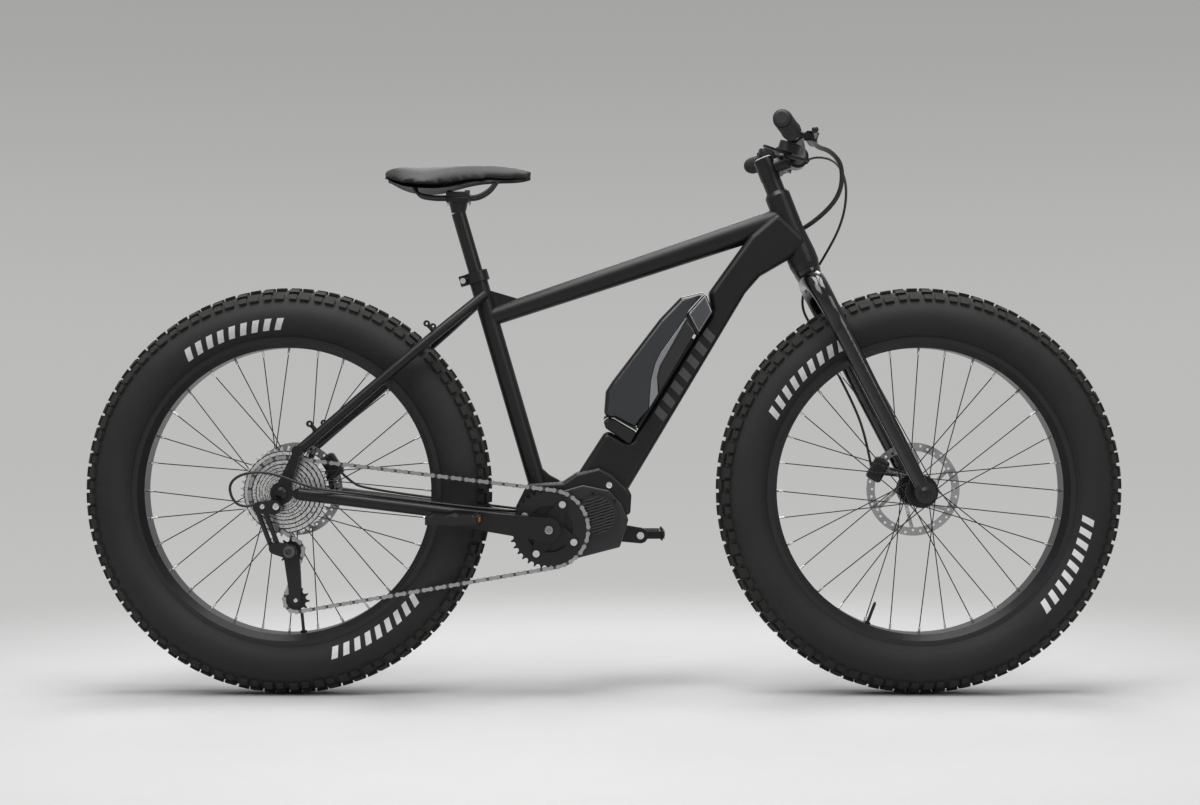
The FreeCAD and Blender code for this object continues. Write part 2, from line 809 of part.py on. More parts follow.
# Chain drive: four wheels in one plane, the chain's closed path round them, and its links
CLOCKWISE = -1
COUNTER = 1
COG_TEETH = (40, 36, 32, 28, 24, 21, 18, 15, 13, 11)
ENGAGED_COG = 2


def pitch_radius(teeth):
    """The radius of the circle through the pins of a chain wrapped on a wheel."""
    return size("chain_pitch") / (2 * math.sin(math.pi / teeth))


def flat(vector):
    """The side-view coordinates of a point."""
    return vector.x, vector.z


def chain_runs(tension_centre):
    """Arcs and straight runs of the chain: ring, tension pulley, guide pulley and cog, in running order."""
    wheels = [
        (flat(BRACKET), round(size("ring_teeth")), CLOCKWISE),
        (tension_centre, round(size("pulley_teeth")), CLOCKWISE),
        (GUIDE_CENTRE, round(size("pulley_teeth")), COUNTER),
        (flat(REAR_AXLE), COG_TEETH[ENGAGED_COG], CLOCKWISE),
    ]
    tangents = []
    for (one, teeth_one, turn_one), (two, teeth_two, turn_two) in zip(wheels, wheels[1:] + wheels[:1]):
        across = (two[0] - one[0], two[1] - one[1])
        gap = math.hypot(*across)
        shift = turn_two * pitch_radius(teeth_two) - turn_one * pitch_radius(teeth_one)
        heading = math.atan2(across[1], across[0]) - math.asin(shift / gap)
        normal = (-math.sin(heading), math.cos(heading))
        leave = [one[i] - turn_one * pitch_radius(teeth_one) * normal[i] for i in (0, 1)]
        meet = [two[i] - turn_two * pitch_radius(teeth_two) * normal[i] for i in (0, 1)]
        tangents.append((leave, meet))
    runs = []
    for index, (centre, teeth, turn) in enumerate(wheels):
        meet = tangents[index - 1][1]
        leave, ahead = tangents[index]
        begin = math.atan2(meet[1] - centre[1], meet[0] - centre[0])
        end = math.atan2(leave[1] - centre[1], leave[0] - centre[0])
        wrap = turn * (end - begin) % (2 * math.pi)
        runs.append(("arc", wrap * teeth / (2 * math.pi), centre, teeth, turn, begin))
        runs.append(("run", math.dist(leave, ahead) / size("chain_pitch"), leave, ahead))
    return runs


def tension_centre(swing):
    """The tension pulley's centre at a swing of the cage ahead of straight down."""
    reach = size("cage_length")
    return GUIDE_CENTRE[0] + reach * math.sin(swing), GUIDE_CENTRE[1] - reach * math.cos(swing)


def link_count(swing):
    """How many chain pitches the path holds at a swing of the cage."""
    return sum(run[1] for run in chain_runs(tension_centre(swing)))


def solve_swing(guess):
    """The swing near a guess at which the chain closes on a whole, even number of links."""
    links = 2 * round(link_count(guess) / 2)
    swing = guess
    probe_step = math.radians(1)
    for _ in range(30):
        slope = (link_count(swing + probe_step) - link_count(swing)) / probe_step
        swing -= (link_count(swing) - links) / slope
    return swing, links


GUIDE_CENTRE = (REAR_AXLE.x + size("guide_pulley_lead"), REAR_AXLE.z - size("guide_pulley_drop"))
CAGE_SWING, LINKS = solve_swing(math.radians(9))
TENSION_CENTRE = tension_centre(CAGE_SWING)
RUNS = chain_runs(TENSION_CENTRE)
print(f"chain: {LINKS} links, cage swing {math.degrees(CAGE_SWING):.2f} degrees")


def pin_place(place):
    """The side-view position of the chain at a number of pitches along its path."""
    for run in RUNS:
        if place <= run[1]:
            break
        place -= run[1]
    if run[0] == "run":
        leave, ahead = run[2], run[3]
        share = place / run[1]
        return leave[0] + (ahead[0] - leave[0]) * share, leave[1] + (ahead[1] - leave[1]) * share
    _, _, centre, teeth, turn, begin = run
    angle = begin + turn * 2 * math.pi * place / teeth
    radius = pitch_radius(teeth)
    return centre[0] + radius * math.cos(angle), centre[1] + radius * math.sin(angle)


def seat_angle(index):
    """The angle of one pin on a wheel, so that the wheel's tooth gaps meet the chain's rollers."""
    before = sum(run[1] for run in RUNS[:2 * index])
    _, _, _, teeth, turn, begin = RUNS[2 * index]
    return begin + turn * 2 * math.pi * (math.ceil(before) - before) / teeth


def toothed_face(teeth, angle, bore):
    """The side outline of a chain wheel about the Y axis, with one tooth gap at the given angle."""
    pitch = pitch_radius(teeth)
    gap = size("roller_seat_diameter") / 2
    tip = pitch + size("tooth_height")
    tooth_half = size("tooth_tip_width") / (2 * tip)
    step = 2 * math.pi / teeth
    flank_share = 0.62

    def spot(radius, turn):
        return Vector(radius * math.cos(turn), 0, radius * math.sin(turn))

    edges = []
    for index in range(teeth):
        middle = angle + index * step
        centre = spot(pitch, middle)
        out = spot(1, middle)
        side = spot(1, middle + math.pi / 2)
        low = centre - out * gap
        lean = math.pi * flank_share / 2
        right = centre - out * gap * math.cos(lean) - side * gap * math.sin(lean)
        left = centre - out * gap * math.cos(lean) + side * gap * math.sin(lean)
        tip_one = spot(tip, middle + step / 2 - tooth_half)
        tip_two = spot(tip, middle + step / 2 + tooth_half)
        after = middle + step
        next_right = (spot(pitch, after) - spot(1, after) * gap * math.cos(lean)
                      - spot(1, after + math.pi / 2) * gap * math.sin(lean))
        edges.append(Part.Arc(right, low, left).toShape())
        for one, two in ((left, tip_one), (tip_one, tip_two), (tip_two, next_right)):
            edges.append(Part.LineSegment(one, two).toShape())
    hole = Part.Wire([Part.Circle(ORIGIN, ACROSS, bore / 2).toShape()])
    return Part.Face([Part.Wire(edges), hole])


def wheel_plate(face, thickness):
    """A chain wheel's outline made into a plate centred on its own plane."""
    plate = face.extrude(ACROSS * thickness)
    plate.translate(-ACROSS * thickness / 2)
    return plate


COG_WINDOWS = 8
COG_WINDOW_SHARE = 0.3


def make_cassette():
    """Ten cogs on the carrier that turns on the rear axle."""
    bore = size("cog_bore_diameter") + 2 * size("seat_clearance")
    solids = []
    thick = size("cog_thickness")
    for index, teeth in enumerate(COG_TEETH):
        angle = seat_angle(3) if index == ENGAGED_COG else 0
        cog = wheel_plate(toothed_face(teeth, angle, bore), thick)
        web = pitch_radius(teeth) - size("roller_seat_diameter") / 2 - bore / 2
        if web > size("cog_bore_diameter") / 2:
            window = web * COG_WINDOW_SHARE
            middle = bore / 2 + web / 2
            drills = []
            for turn in range(COG_WINDOWS):
                spot = Vector(middle, -thick, 0)
                drill = Part.makeCylinder(window, 2 * thick, spot, ACROSS)
                drill.rotate(ORIGIN, ACROSS, turn * FULL_TURN / COG_WINDOWS)
                drills.append(drill)
            cog = cog.cut(drills)
        plane = -size("chain_line") - (index - ENGAGED_COG) * size("cog_step")
        cog.translate(ACROSS * plane)
        solids.append(cog)
    end = size("rear_frame_width") / 2 - size("side_clearance")
    start = size("drive_flange_plane") + 3 * size("flange_thickness") + size("side_clearance")
    axle = size("rear_axle_diameter") / 2 + size("running_clearance")
    core = size("cog_bore_diameter") / 2
    base = Vector(0, -end, 0)
    carrier = Part.makeCylinder(core, end - start, base, ACROSS)
    solids.append(carrier.cut(Part.makeCylinder(axle, end - start, base, ACROSS)))
    group = feature("cassette", Part.makeCompound(solids))
    group.Placement = on_axle(REAR_AXLE)


def link_plates(inner, outer, width, waist):
    """A pair of side plates of one link along X, from one pin to the next."""
    pitch = size("chain_pitch")
    plates = []
    for side in (-outer, inner):
        base = Vector(0, side, 0)
        thick = outer - inner
        shape = Part.makeCylinder(width / 2, thick, base, ACROSS)
        shape = shape.fuse([
            Part.makeCylinder(width / 2, thick, base + Vector(pitch, 0, 0), ACROSS),
            Part.makeBox(pitch, thick, waist, base - Vector(0, 0, waist / 2)),
        ])
        plates.append(shape.removeSplitter())
    return plates


def link_solids():
    """An inner link with its two rollers, and an outer link with its two pins."""
    pitch = size("chain_pitch")
    gap = size("link_inner_gap") / 2
    inner_face = gap + size("link_plate")
    outer_gap = inner_face + size("link_side_play")
    outer_face = outer_gap + size("link_plate")
    pin = size("pin_diameter") / 2
    ends = (ORIGIN, Vector(pitch, 0, 0))
    width = size("link_plate_width")
    waist = size("link_waist_width")
    inner = link_plates(gap, inner_face, width, waist)
    rollers = [Part.makeCylinder(size("roller_diameter") / 2, 2 * gap, end - ACROSS * gap, ACROSS) for end in ends]
    bores = [Part.makeCylinder(pin + size("running_clearance"), 2 * outer_face, end - ACROSS * outer_face, ACROSS)
             for end in ends]
    inner_link = inner[0].fuse([inner[1]] + rollers).cut(bores)
    outer = link_plates(outer_gap, outer_face, width, waist)
    pins = [Part.makeCylinder(pin, 2 * outer_face, end - ACROSS * outer_face, ACROSS) for end in ends]
    outer_link = outer[0].fuse([outer[1]] + pins).removeSplitter()
    return inner_link, outer_link


def make_chain():
    """Inner and outer links by turns, each from one pin of the path to the next."""
    kinds = link_solids()
    pins = [pin_place(index) for index in range(LINKS)]
    solids = []
    for index in range(LINKS):
        one = pins[index]
        two = pins[(index + 1) % LINKS]
        middle = ((one[0] + two[0]) / 2, (one[1] + two[1]) / 2)
        heading = math.atan2(two[1] - one[1], two[0] - one[0])
        half = size("chain_pitch") / 2
        start = Vector(middle[0] - half * math.cos(heading), -size("chain_line"),
                       middle[1] - half * math.sin(heading))
        link = kinds[index % 2].copy()
        link.Placement = Placement(start, Rotation(ACROSS, -math.degrees(heading)))
        solids.append(link)
    feature("chain", Part.makeCompound(solids))


RING_BOLTS = 4
RING_BOLT_TURN = math.radians(62)


def ring_bolt_spots():
    """The centres of the four chainring bolts, about the bracket axis."""
    radius = size("ring_bolt_circle") / 2
    angles = [RING_BOLT_TURN + index * 2 * math.pi / RING_BOLTS for index in range(RING_BOLTS)]
    return [Vector(radius * math.cos(angle), 0, radius * math.sin(angle)) for angle in angles]


def make_chainring():
    """The toothed ring with its four bolts, on the outer face of which the spider sits."""
    thick = size("ring_thickness")
    bore = size("ring_bore_diameter")
    bolt = size("ring_bolt_gauge") / 2
    play = size("running_clearance")
    ring = wheel_plate(toothed_face(round(size("ring_teeth")), seat_angle(0), bore), thick)
    inner = -size("chain_line") + thick / 2
    outer = -size("chain_line") - thick / 2 - size("seat_clearance") - size("crank_spider_thickness")
    ring.translate(-ACROSS * size("chain_line"))
    holes = [Part.makeCylinder(bolt + play, 2 * thick, spot - ACROSS * (size("chain_line") + thick), ACROSS)
             for spot in ring_bolt_spots()]
    solids = [ring.cut(holes)]
    head = size("ring_bolt_head_height")
    for spot in ring_bolt_spots():
        shank = bar(spot + ACROSS * (outer - head / 2), spot + ACROSS * (inner + head / 2), bolt)
        low = bar(spot + ACROSS * (outer - head), spot + ACROSS * (outer - size("seat_clearance")),
                  size("ring_bolt_head") / 2)
        high = bar(spot + ACROSS * (inner + size("seat_clearance")), spot + ACROSS * (inner + head),
                   size("ring_bolt_head") / 2)
        solids.append(shank.fuse([low, high]))
    group = feature("chainring", Part.makeCompound(solids))
    group.Placement = on_axle(BRACKET)


def link_plate_shape(one, two, radius_one, radius_two, start, thick):
    """A plate from one eye to another with tangent sides, its thickness along Y from start."""
    across = (two - one)
    gap = across.Length
    across.normalize()
    side = across.cross(ACROSS)
    lean = (radius_one - radius_two) / gap
    rise = math.sqrt(1 - lean ** 2)
    corners = []
    for sign in (1, -1):
        normal = across * lean + side * sign * rise
        corners.append((one + normal * radius_one, two + normal * radius_two))
    outline = [corners[0][0], corners[0][1], corners[1][1], corners[1][0]]
    outline = [Vector(p.x, start, p.z) for p in outline]
    web = Part.Face(Part.makePolygon(outline + outline[:1])).extrude(ACROSS * thick)
    eyes = [Part.makeCylinder(radius, thick, Vector(p.x, start, p.z), ACROSS)
            for p, radius in ((one, radius_one), (two, radius_two))]
    return web.fuse(eyes).removeSplitter()


def crank_eye():
    """The right pedal's axis in the bracket's frame, with the crank pointing back and a little up."""
    tilt = math.radians(180 - size("crank_tilt"))
    return Vector(math.cos(tilt), 0, math.sin(tilt)) * size("crank_length")


def half_turn(shape):
    """The left-hand twin of a crank piece: half a turn about the bracket axis, on the other side."""
    twin = shape.mirror(ORIGIN, ACROSS)
    twin.rotate(ORIGIN, ACROSS, FULL_TURN / 2)
    return twin


def make_crankset():
    """Two crank arms, the right one with the spider, and the spindle through the motor."""
    inner = size("crank_inner_plane")
    outer = inner + size("crank_thickness")
    boss = size("crank_boss_diameter") / 2
    eye = crank_eye()
    arm = link_plate_shape(ORIGIN, eye, boss, size("crank_eye_diameter") / 2, -outer, size("crank_thickness"))
    spindle = size("spindle_diameter") / 2
    cap = outer - size("crank_bolt_depth")
    bores = [
        bar(Vector(0, -cap, 0), Vector(0, -inner + size("overrun"), 0), spindle + size("seat_clearance")),
        bar(Vector(0, -outer - size("overrun"), 0), Vector(0, -cap, 0), size("crank_bolt_diameter") / 2),
        bar(eye - ACROSS * (outer + size("overrun")), eye - ACROSS * (inner - size("overrun")),
            size("pedal_thread_diameter") / 2 + size("seat_clearance")),
    ]
    left_arm = half_turn(arm.cut(bores))
    face = size("chain_line") + size("ring_thickness") / 2 + size("seat_clearance")
    back = face + size("crank_spider_thickness")
    spider = [bar(Vector(0, -inner, 0), Vector(0, -face, 0), boss)]
    tab = size("crank_spider_arm") / 2
    bolts = []
    for spot in ring_bolt_spots():
        spider.append(link_plate_shape(ORIGIN, spot, boss, tab, -back, size("crank_spider_thickness")))
        bolts.append(bar(spot - ACROSS * (back + size("overrun")), spot - ACROSS * (face - size("overrun")),
                         size("ring_bolt_gauge") / 2 + size("running_clearance")))
    through = bar(Vector(0, -cap, 0), Vector(0, 0, 0), spindle + size("seat_clearance"))
    right_arm = arm.fuse(spider).cut(bores + bolts + [through]).removeSplitter()
    ends = ACROSS * (cap - size("seat_clearance"))
    shaft = bar(-ends, ends, spindle)
    cranks = feature("crankset", Part.makeCompound([right_arm, left_arm, shaft]))
    cranks.Placement = on_axle(BRACKET)


def pedal_spans():
    """Where a pedal starts and ends across the bicycle, measured from the middle plane."""
    collar = size("crank_inner_plane") + size("crank_thickness") + size("seat_clearance")
    start = collar + size("pedal_collar_length") + size("side_clearance")
    return collar, start, start + size("pedal_width")


# The gripping pins along each end of a pedal, as shares of its width
PEDAL_PIN_SHARES = (0.15, 0.38, 0.62, 0.85)


def make_pedals():
    """Two platform pedals with grip pins, and the two axles screwed into the cranks."""
    collar, start, end = pedal_spans()
    eye = crank_eye()
    deep = size("crank_inner_plane") + size("seat_clearance")
    tip = end - size("pedal_end_wall") - size("side_clearance")
    axle = bar(eye - ACROSS * deep, eye - ACROSS * (collar + size("seat_clearance")),
               size("pedal_thread_diameter") / 2)
    axle = axle.fuse([
        bar(eye - ACROSS * collar, eye - ACROSS * (collar + size("pedal_collar_length")),
            size("pedal_collar_diameter") / 2),
        bar(eye - ACROSS * collar, eye - ACROSS * tip, size("pedal_axle_diameter") / 2),
    ])
    axles = feature("pedal_axles", Part.makeCompound([axle, half_turn(axle)]))
    axles.Placement = on_axle(BRACKET)
    length = size("pedal_length")
    width = size("pedal_width")
    thick = size("pedal_thickness")
    rail = size("pedal_rail")
    barrel = size("pedal_barrel_diameter") / 2
    corner = Vector(eye.x - length / 2, -end, eye.z - thick / 2)
    plate = Part.makeBox(length, width, thick, corner)
    upright = [edge for edge in plate.Edges if abs(edge.tangentAt(edge.FirstParameter).z) > 0.9]
    plate = plate.makeFillet(rail, upright)
    window_long = length / 2 - rail - barrel
    window_wide = (width - 3 * rail) / 2
    windows = []
    for begin in (corner.x + rail, eye.x + barrel):
        for across in (corner.y + rail, corner.y + 2 * rail + window_wide):
            low = Vector(begin, across, corner.z - thick)
            windows.append(Part.makeBox(window_long, window_wide, 3 * thick, low))
    core = bar(Vector(eye.x, -end, eye.z), Vector(eye.x, -start, eye.z), barrel)
    pins = []
    inset = rail / 2
    pin = size("pedal_pin_diameter") / 2
    high = thick / 2 + size("pedal_pin_height")
    for along in (corner.x + inset, eye.x + length / 2 - inset):
        for share in PEDAL_PIN_SHARES:
            spot = Vector(along, corner.y + width * share, eye.z)
            pins.append(bar(spot - UP * high, spot + UP * high, pin))
    bore = bar(Vector(eye.x, -tip - size("side_clearance"), eye.z), Vector(eye.x, size("overrun") - start, eye.z),
               size("pedal_axle_diameter") / 2 + size("running_clearance"))
    body = plate.cut(windows).fuse([core] + pins).cut(bore)
    for label, shape in (("pedal_right", body), ("pedal_left", half_turn(body))):
        pedal = feature(label, Part.makeCompound([shape]))
        pedal.Placement = on_axle(BRACKET)


make_cassette()
make_chain()
make_chainring()
make_crankset()
make_pedals()


# Rear derailleur: two pulleys in a swinging cage, under a linked arm bolted to the hanger
def side_point(pair, left=0.0):
    """A side-view point at a place across the bicycle."""
    return Vector(pair[0], left, pair[1])


def make_pulley(label, centre, index):
    """A toothed guide wheel with a wide hub, turning on its bolt."""
    bore = size("pulley_bolt_diameter") + 2 * size("running_clearance")
    plate = wheel_plate(toothed_face(round(size("pulley_teeth")), seat_angle(index), bore), size("pulley_thickness"))
    half = size("pulley_hub_width") / 2
    hub = bar(-ACROSS * half, ACROSS * half, size("pulley_hub_diameter") / 2)
    hub = hub.cut(bar(-ACROSS * half, ACROSS * half, bore / 2))
    wheel = feature(label, plate.fuse(hub).removeSplitter())
    wheel.Placement = on_axle(side_point(centre, -size("chain_line")))


CAGE_WAIST_SHARE = 0.5
HANGER_EYE_SHARE = 0.8
KNUCKLE_SHARE = 0.8
LINK_SHIFT_SHARE = 0.5


def make_cage():
    """Two plates joined by the pulley bolts."""
    guide = side_point(GUIDE_CENTRE)
    tension = side_point(TENSION_CENTRE)
    half = size("cage_plane_gap") / 2
    thick = size("cage_plate")
    eye = size("cage_plate_width") / 2
    line = -size("chain_line")
    plates = [
        link_plate_shape(guide, tension, eye, eye * CAGE_WAIST_SHARE + size("cage_end_margin"), line + half, thick),
        link_plate_shape(guide, tension, eye, eye * CAGE_WAIST_SHARE + size("cage_end_margin"),
                         line - half - thick, thick),
    ]
    bolts = []
    for centre in (guide, tension):
        low = centre + ACROSS * (line - half - thick)
        high = centre + ACROSS * (line + half + thick)
        bolts.append(bar(low, high, size("pulley_bolt_diameter") / 2))
    feature("derailleur_cage", plates[0].fuse([plates[1]] + bolts).removeSplitter())


def make_derailleur():
    """The hanger, the upper knuckle, two parallel links and the lower knuckle that carries the cage."""
    pivot = REAR_AXLE - UP * size("derailleur_bolt_drop") - Vector(size("derailleur_bolt_setback"), 0, 0)
    wall = size("rear_frame_width") / 2
    thick = size("dropout_thickness")
    hanger_eye = size("cage_plate_width") / 2
    hanger = link_plate_shape(REAR_AXLE, pivot, hanger_eye, hanger_eye * HANGER_EYE_SHARE, -wall - thick, thick)
    hanger = hanger.cut(bar(REAR_AXLE - ACROSS * (wall + thick), REAR_AXLE, size("dropout_radius")))
    outer = wall + thick + size("seat_clearance")
    knuckle = size("knuckle_diameter") / 2
    depth = size("knuckle_depth")
    rear = pivot - Vector(2 * knuckle, 0, 0)
    upper = link_plate_shape(pivot, rear, knuckle, knuckle * KNUCKLE_SHARE, -outer - depth, depth)
    cage_face = size("chain_line") + size("cage_plane_gap") / 2 + size("cage_plate") + size("side_clearance")
    guide = side_point(GUIDE_CENTRE)
    foot = guide + Vector(-2 * knuckle, 0, knuckle / 2)
    lower = link_plate_shape(guide, foot, knuckle, knuckle * KNUCKLE_SHARE, -cage_face - depth, depth)
    links = []
    for shift in (-LINK_SHIFT_SHARE, LINK_SHIFT_SHARE):
        top = rear + Vector(shift * knuckle, 0, 0) - ACROSS * (outer + depth / 2)
        low = foot + Vector(shift * knuckle, 0, 0) - ACROSS * (cage_face + depth / 2)
        links.append(bar(top, low, size("derailleur_link_diameter") / 2).cut(upper.fuse(lower)))
    solids = [hanger, upper, lower]
    for link in links:
        solids.extend(link.Solids)
    feature("derailleur_body", Part.makeCompound(solids))


make_pulley("tension_pulley", TENSION_CENTRE, 1)
make_pulley("guide_pulley", GUIDE_CENTRE, 2)
make_cage()
make_derailleur()


# Frame: welded tubes, each its own solid, mitred against its neighbours
def make_head_tube():
    """A tapered head tube with a ring at each end."""
    low = "fork_length + head_cup_height"
    tube = turned("head_tube", "XZ_Plane", [
        ("head_tube_bore / 2", low),
        ("head_tube_low_diameter / 2", low),
        ("head_tube_low_diameter / 2", f"{low} + head_tube_length / 7"),
        ("head_tube_top_diameter / 2", f"{low} + head_tube_length / 2"),
        ("head_tube_top_diameter / 2", f"{low} + head_tube_length"),
        ("head_tube_bore / 2", f"{low} + head_tube_length"),
    ])
    tube.Placement = Placement(STEER_FOOT, HEAD_TURN)
    return node(tube)


def make_headset():
    """The lower bearing ring on the crown and the conical upper cover, both fixed to the head tube."""
    top = "fork_length + head_cup_height + head_tube_length"
    lower = turned("headset_low", "XZ_Plane", [
        ("steerer_low_diameter / 2 + running_clearance", "fork_length + side_clearance"),
        ("head_tube_low_diameter / 2 - overrun / 2", "fork_length + side_clearance"),
        ("head_tube_low_diameter / 2", "fork_length + head_cup_height"),
        ("steerer_low_diameter / 2 + running_clearance", "fork_length + head_cup_height"),
    ])
    upper = turned("headset_high", "XZ_Plane", [
        ("steerer_diameter / 2 + running_clearance", top),
        ("head_tube_top_diameter / 2", top),
        ("head_tube_top_diameter / 2", f"{top} + head_cup_height / 3"),
        ("spacer_diameter / 2", f"{top} + head_cup_height - side_clearance"),
        ("steerer_diameter / 2 + running_clearance", f"{top} + head_cup_height - side_clearance"),
    ])
    for ring in (lower, upper):
        ring.Placement = Placement(STEER_FOOT, HEAD_TURN)
    grouped("headset_cups", [lower, upper])


SPAN = steer(HEAD_LOW) - BRACKET
SPAN_SIDE = SPAN.cross(ACROSS)
# Shares of the span from the bottom bracket to the head tube's lower end: along it, then above it
DOWN_TUBE_SHARES = (
    (0.16, -0.10), (0.223, -0.081), (0.828, 0.060), (0.889, 0.063), (0.985, 0.036), (1.05, 0.04),
    (1.05, 0.15), (0.95, 0.16), (0.885, 0.151), (0.761, 0.133), (0.730, 0.0914), (0.653, 0.0756),
    (0.3144, 0.0028), (0.2974, 0.0743), (0.148, 0.045), (0.08, -0.02),
)
BATTERY_SHARES = (
    (0.7560, 0.1415), (0.6970, 0.1790), (0.6155, 0.1790), (0.5004, 0.1658), (0.4036, 0.1545), (0.3710, 0.1480),
    (0.3135, 0.1000), (0.3368, 0.0818), (0.3545, 0.0195), (0.7265, 0.1000),
)
NOTCH_SHARES = ((0.6545, 0.0600), (0.6545, 0.0839), (0.6735, 0.1380), (0.7700, 0.1410), (0.7700, 0.0600))
RAIL_SHARES = ((0.360, 0.0090), (0.640, 0.0690), (0.640, 0.0802), (0.360, 0.0200))
LOCK_SHARES = ((0.6570, 0.0730), (0.7285, 0.0880), (0.7505, 0.1380), (0.6760, 0.1352))
FOOT_SHARES = (
    (0.3120, 0.0000), (0.3505, 0.0090), (0.3335, 0.0806), (0.3250, 0.0930), (0.3085, 0.0955), (0.2995, 0.0790),
)


def spanned(shares):
    """Side-view points given as shares of the span from the bottom bracket to the head tube."""
    return [flat(BRACKET + SPAN * along + SPAN_SIDE * above) for along, above in shares]


# Shares of the motor's radius, about the bottom bracket
MOTOR_SHARES = (
    (-0.93, 0.345), (-0.483, 0.862), (0.241, 1.172), (1.069, 1.414), (1.931, 1.241), (2.345, 0.793),
    (2.552, 0.276), (2.276, -0.603), (0.879, -0.966), (0.0, -1.0),
)
BRACKET_SHARES = (
    (-1.14, -0.25), (-1.10, 0.70), (-0.72, 1.45), (0.414, 1.483), (0.862, 1.776), (1.60, 1.966),
    (2.069, 1.724), (2.534, 1.293), (2.655, 1.069), (2.62, 0.45), (1.5, 0.2), (0.0, 0.0), (-0.6, -0.4),
)
COVER_SHARE = (1.54, 0.43)


def around_bracket(shares):
    """Side-view points given as shares of the motor's radius."""
    reach = size("motor_radius")
    return [(BRACKET.x + along * reach, BRACKET.z + above * reach) for along, above in shares]


def motor_core():
    """The drive unit's housing without its spindle bore."""
    half = size("motor_width") / 2
    drum = bar(BRACKET - ACROSS * half, BRACKET + ACROSS * half, size("motor_radius"))
    return prism(around_bracket(MOTOR_SHARES), half).fuse(drum).removeSplitter()


# The gusset behind the top tube: its tip along and above the tube, and its rise on the seat tube
GUSSET_TIP_SHARE = (0.105, 0.03)
GUSSET_RISE_SHARE = 1.72


def make_frame():
    """The welded main frame: seat tube, top tube, down tube and the cradle that holds the motor."""
    motor = motor_core()
    cradle = prism(around_bracket(BRACKET_SHARES), size("bracket_width") / 2)
    cradle = rounded(cradle, size("motor_round"), on_side(size("bracket_width") / 2)).cut(motor)
    feature("motor_cradle", max(cradle.Solids, key=lambda solid: solid.Volume))
    seat_radius = size("seat_tube_diameter") / 2
    seat_top = size("seat_tube_length")
    pipe = bar(seat(0), seat(seat_top), seat_radius).cut(cradle.fuse(motor))
    pipe = pipe.cut(bar(seat(seat_top / 3), seat(seat_top + size("overrun")), size("seat_tube_bore") / 2))
    seat_tube = max(pipe.Solids, key=lambda solid: solid.Volume)
    feature("seat_tube", seat_tube)
    head = doc.getObject("head_tube").Shape
    head_core = bar(steer(HEAD_LOW), steer(HEAD_TOP), size("head_tube_bore") / 2 + size("overrun") / 2)
    rear = seat(size("top_tube_seat_height"))
    front = steer(HEAD_TOP - size("top_tube_head_drop"))
    along = front - rear
    lift = along.cross(ACROSS)
    sections = []
    for share in (0.0, 0.5, 1.0):
        tall = size("top_tube_rear_height") + share * (size("top_tube_front_height") - size("top_tube_rear_height"))
        wide = size("top_tube_rear_width") + share * (size("top_tube_front_width") - size("top_tube_rear_width"))
        sections.append(oval(rear + along * share, along, lift, tall / 2, wide / 2))
    seat_core = bar(seat(0), seat(seat_top), seat_radius)
    top = lofted(sections)
    along_share, lift_share = GUSSET_TIP_SHARE
    gusset_points = [flat(seat(size("top_tube_seat_height") + size("seat_tube_diameter") * GUSSET_RISE_SHARE)),
                     flat(rear + along * along_share + lift * lift_share), flat(rear)]
    gusset = prism(gusset_points, size("gusset_thickness") / 2)
    top = top.fuse(gusset).cut([seat_core, head, head_core])
    top_tube = max(top.Solids, key=lambda solid: solid.Volume)
    feature("top_tube", top_tube)
    half = size("down_tube_width") / 2
    down = rounded(prism(spanned(DOWN_TUBE_SHARES), half), size("down_tube_round"), on_side(half))
    down = down.cut([cradle, motor, head, head_core, top_tube])
    down_tube = max(down.Solids, key=lambda solid: solid.Volume)
    feature("down_tube", down_tube)
    return motor, cradle, seat_core


make_head_tube()
make_headset()
doc.recompute()
MOTOR, CRADLE, SEAT_CORE = make_frame()


# Rear stays, the forged ends that hold the axle, and the small frame fittings
# Centre lines of the right-hand stays from the rear axle: share of the span to the far joint,
# share of half the rear frame width across, share of the span above
SEATSTAY_SHARES = ((0.969, 0.1624, -0.0657), (0.79, 0.6294, -0.0404), (0.6462, 0.7919, -0.0187),
                   (0.143, 0.96, 0.0524))
CHAINSTAY_SHARES = ((0.9013, 0.3452, 0.0165), (0.7766, 0.6701, 0.0133), (0.6558, 0.7716, 0.0106),
                    (0.2363, 0.9746, 0.0067), (0.0629, 1.0254, 0.0047))
EYELET_SHARES = ((0.7622, 0.75, 0.0113), (0.2408, 1.0, 0.0837))


def stay_points(joint, shares):
    """Points of a right-hand stay between the rear axle and the joint at its far end."""
    span = joint - REAR_AXLE
    above = span.cross(ACROSS)
    half = size("rear_frame_width") / 2
    return [REAR_AXLE + span * along + above * lift + RIGHT * half * across for along, across, lift in shares]


def nearest_point(path, spot):
    """The point of a path's centre line that lies nearest to a spot in the side view."""
    best = None
    for one, two in zip(path, path[1:]):
        run = two - one
        share = ((spot.x - one.x) * run.x + (spot.z - one.z) * run.z) / (run.x ** 2 + run.z ** 2)
        point = one + run * min(max(share, 0), 1)
        gap = math.hypot(point.x - spot.x, point.z - spot.z)
        if best is None or gap < best[0]:
            best = (gap, point)
    return best[1]


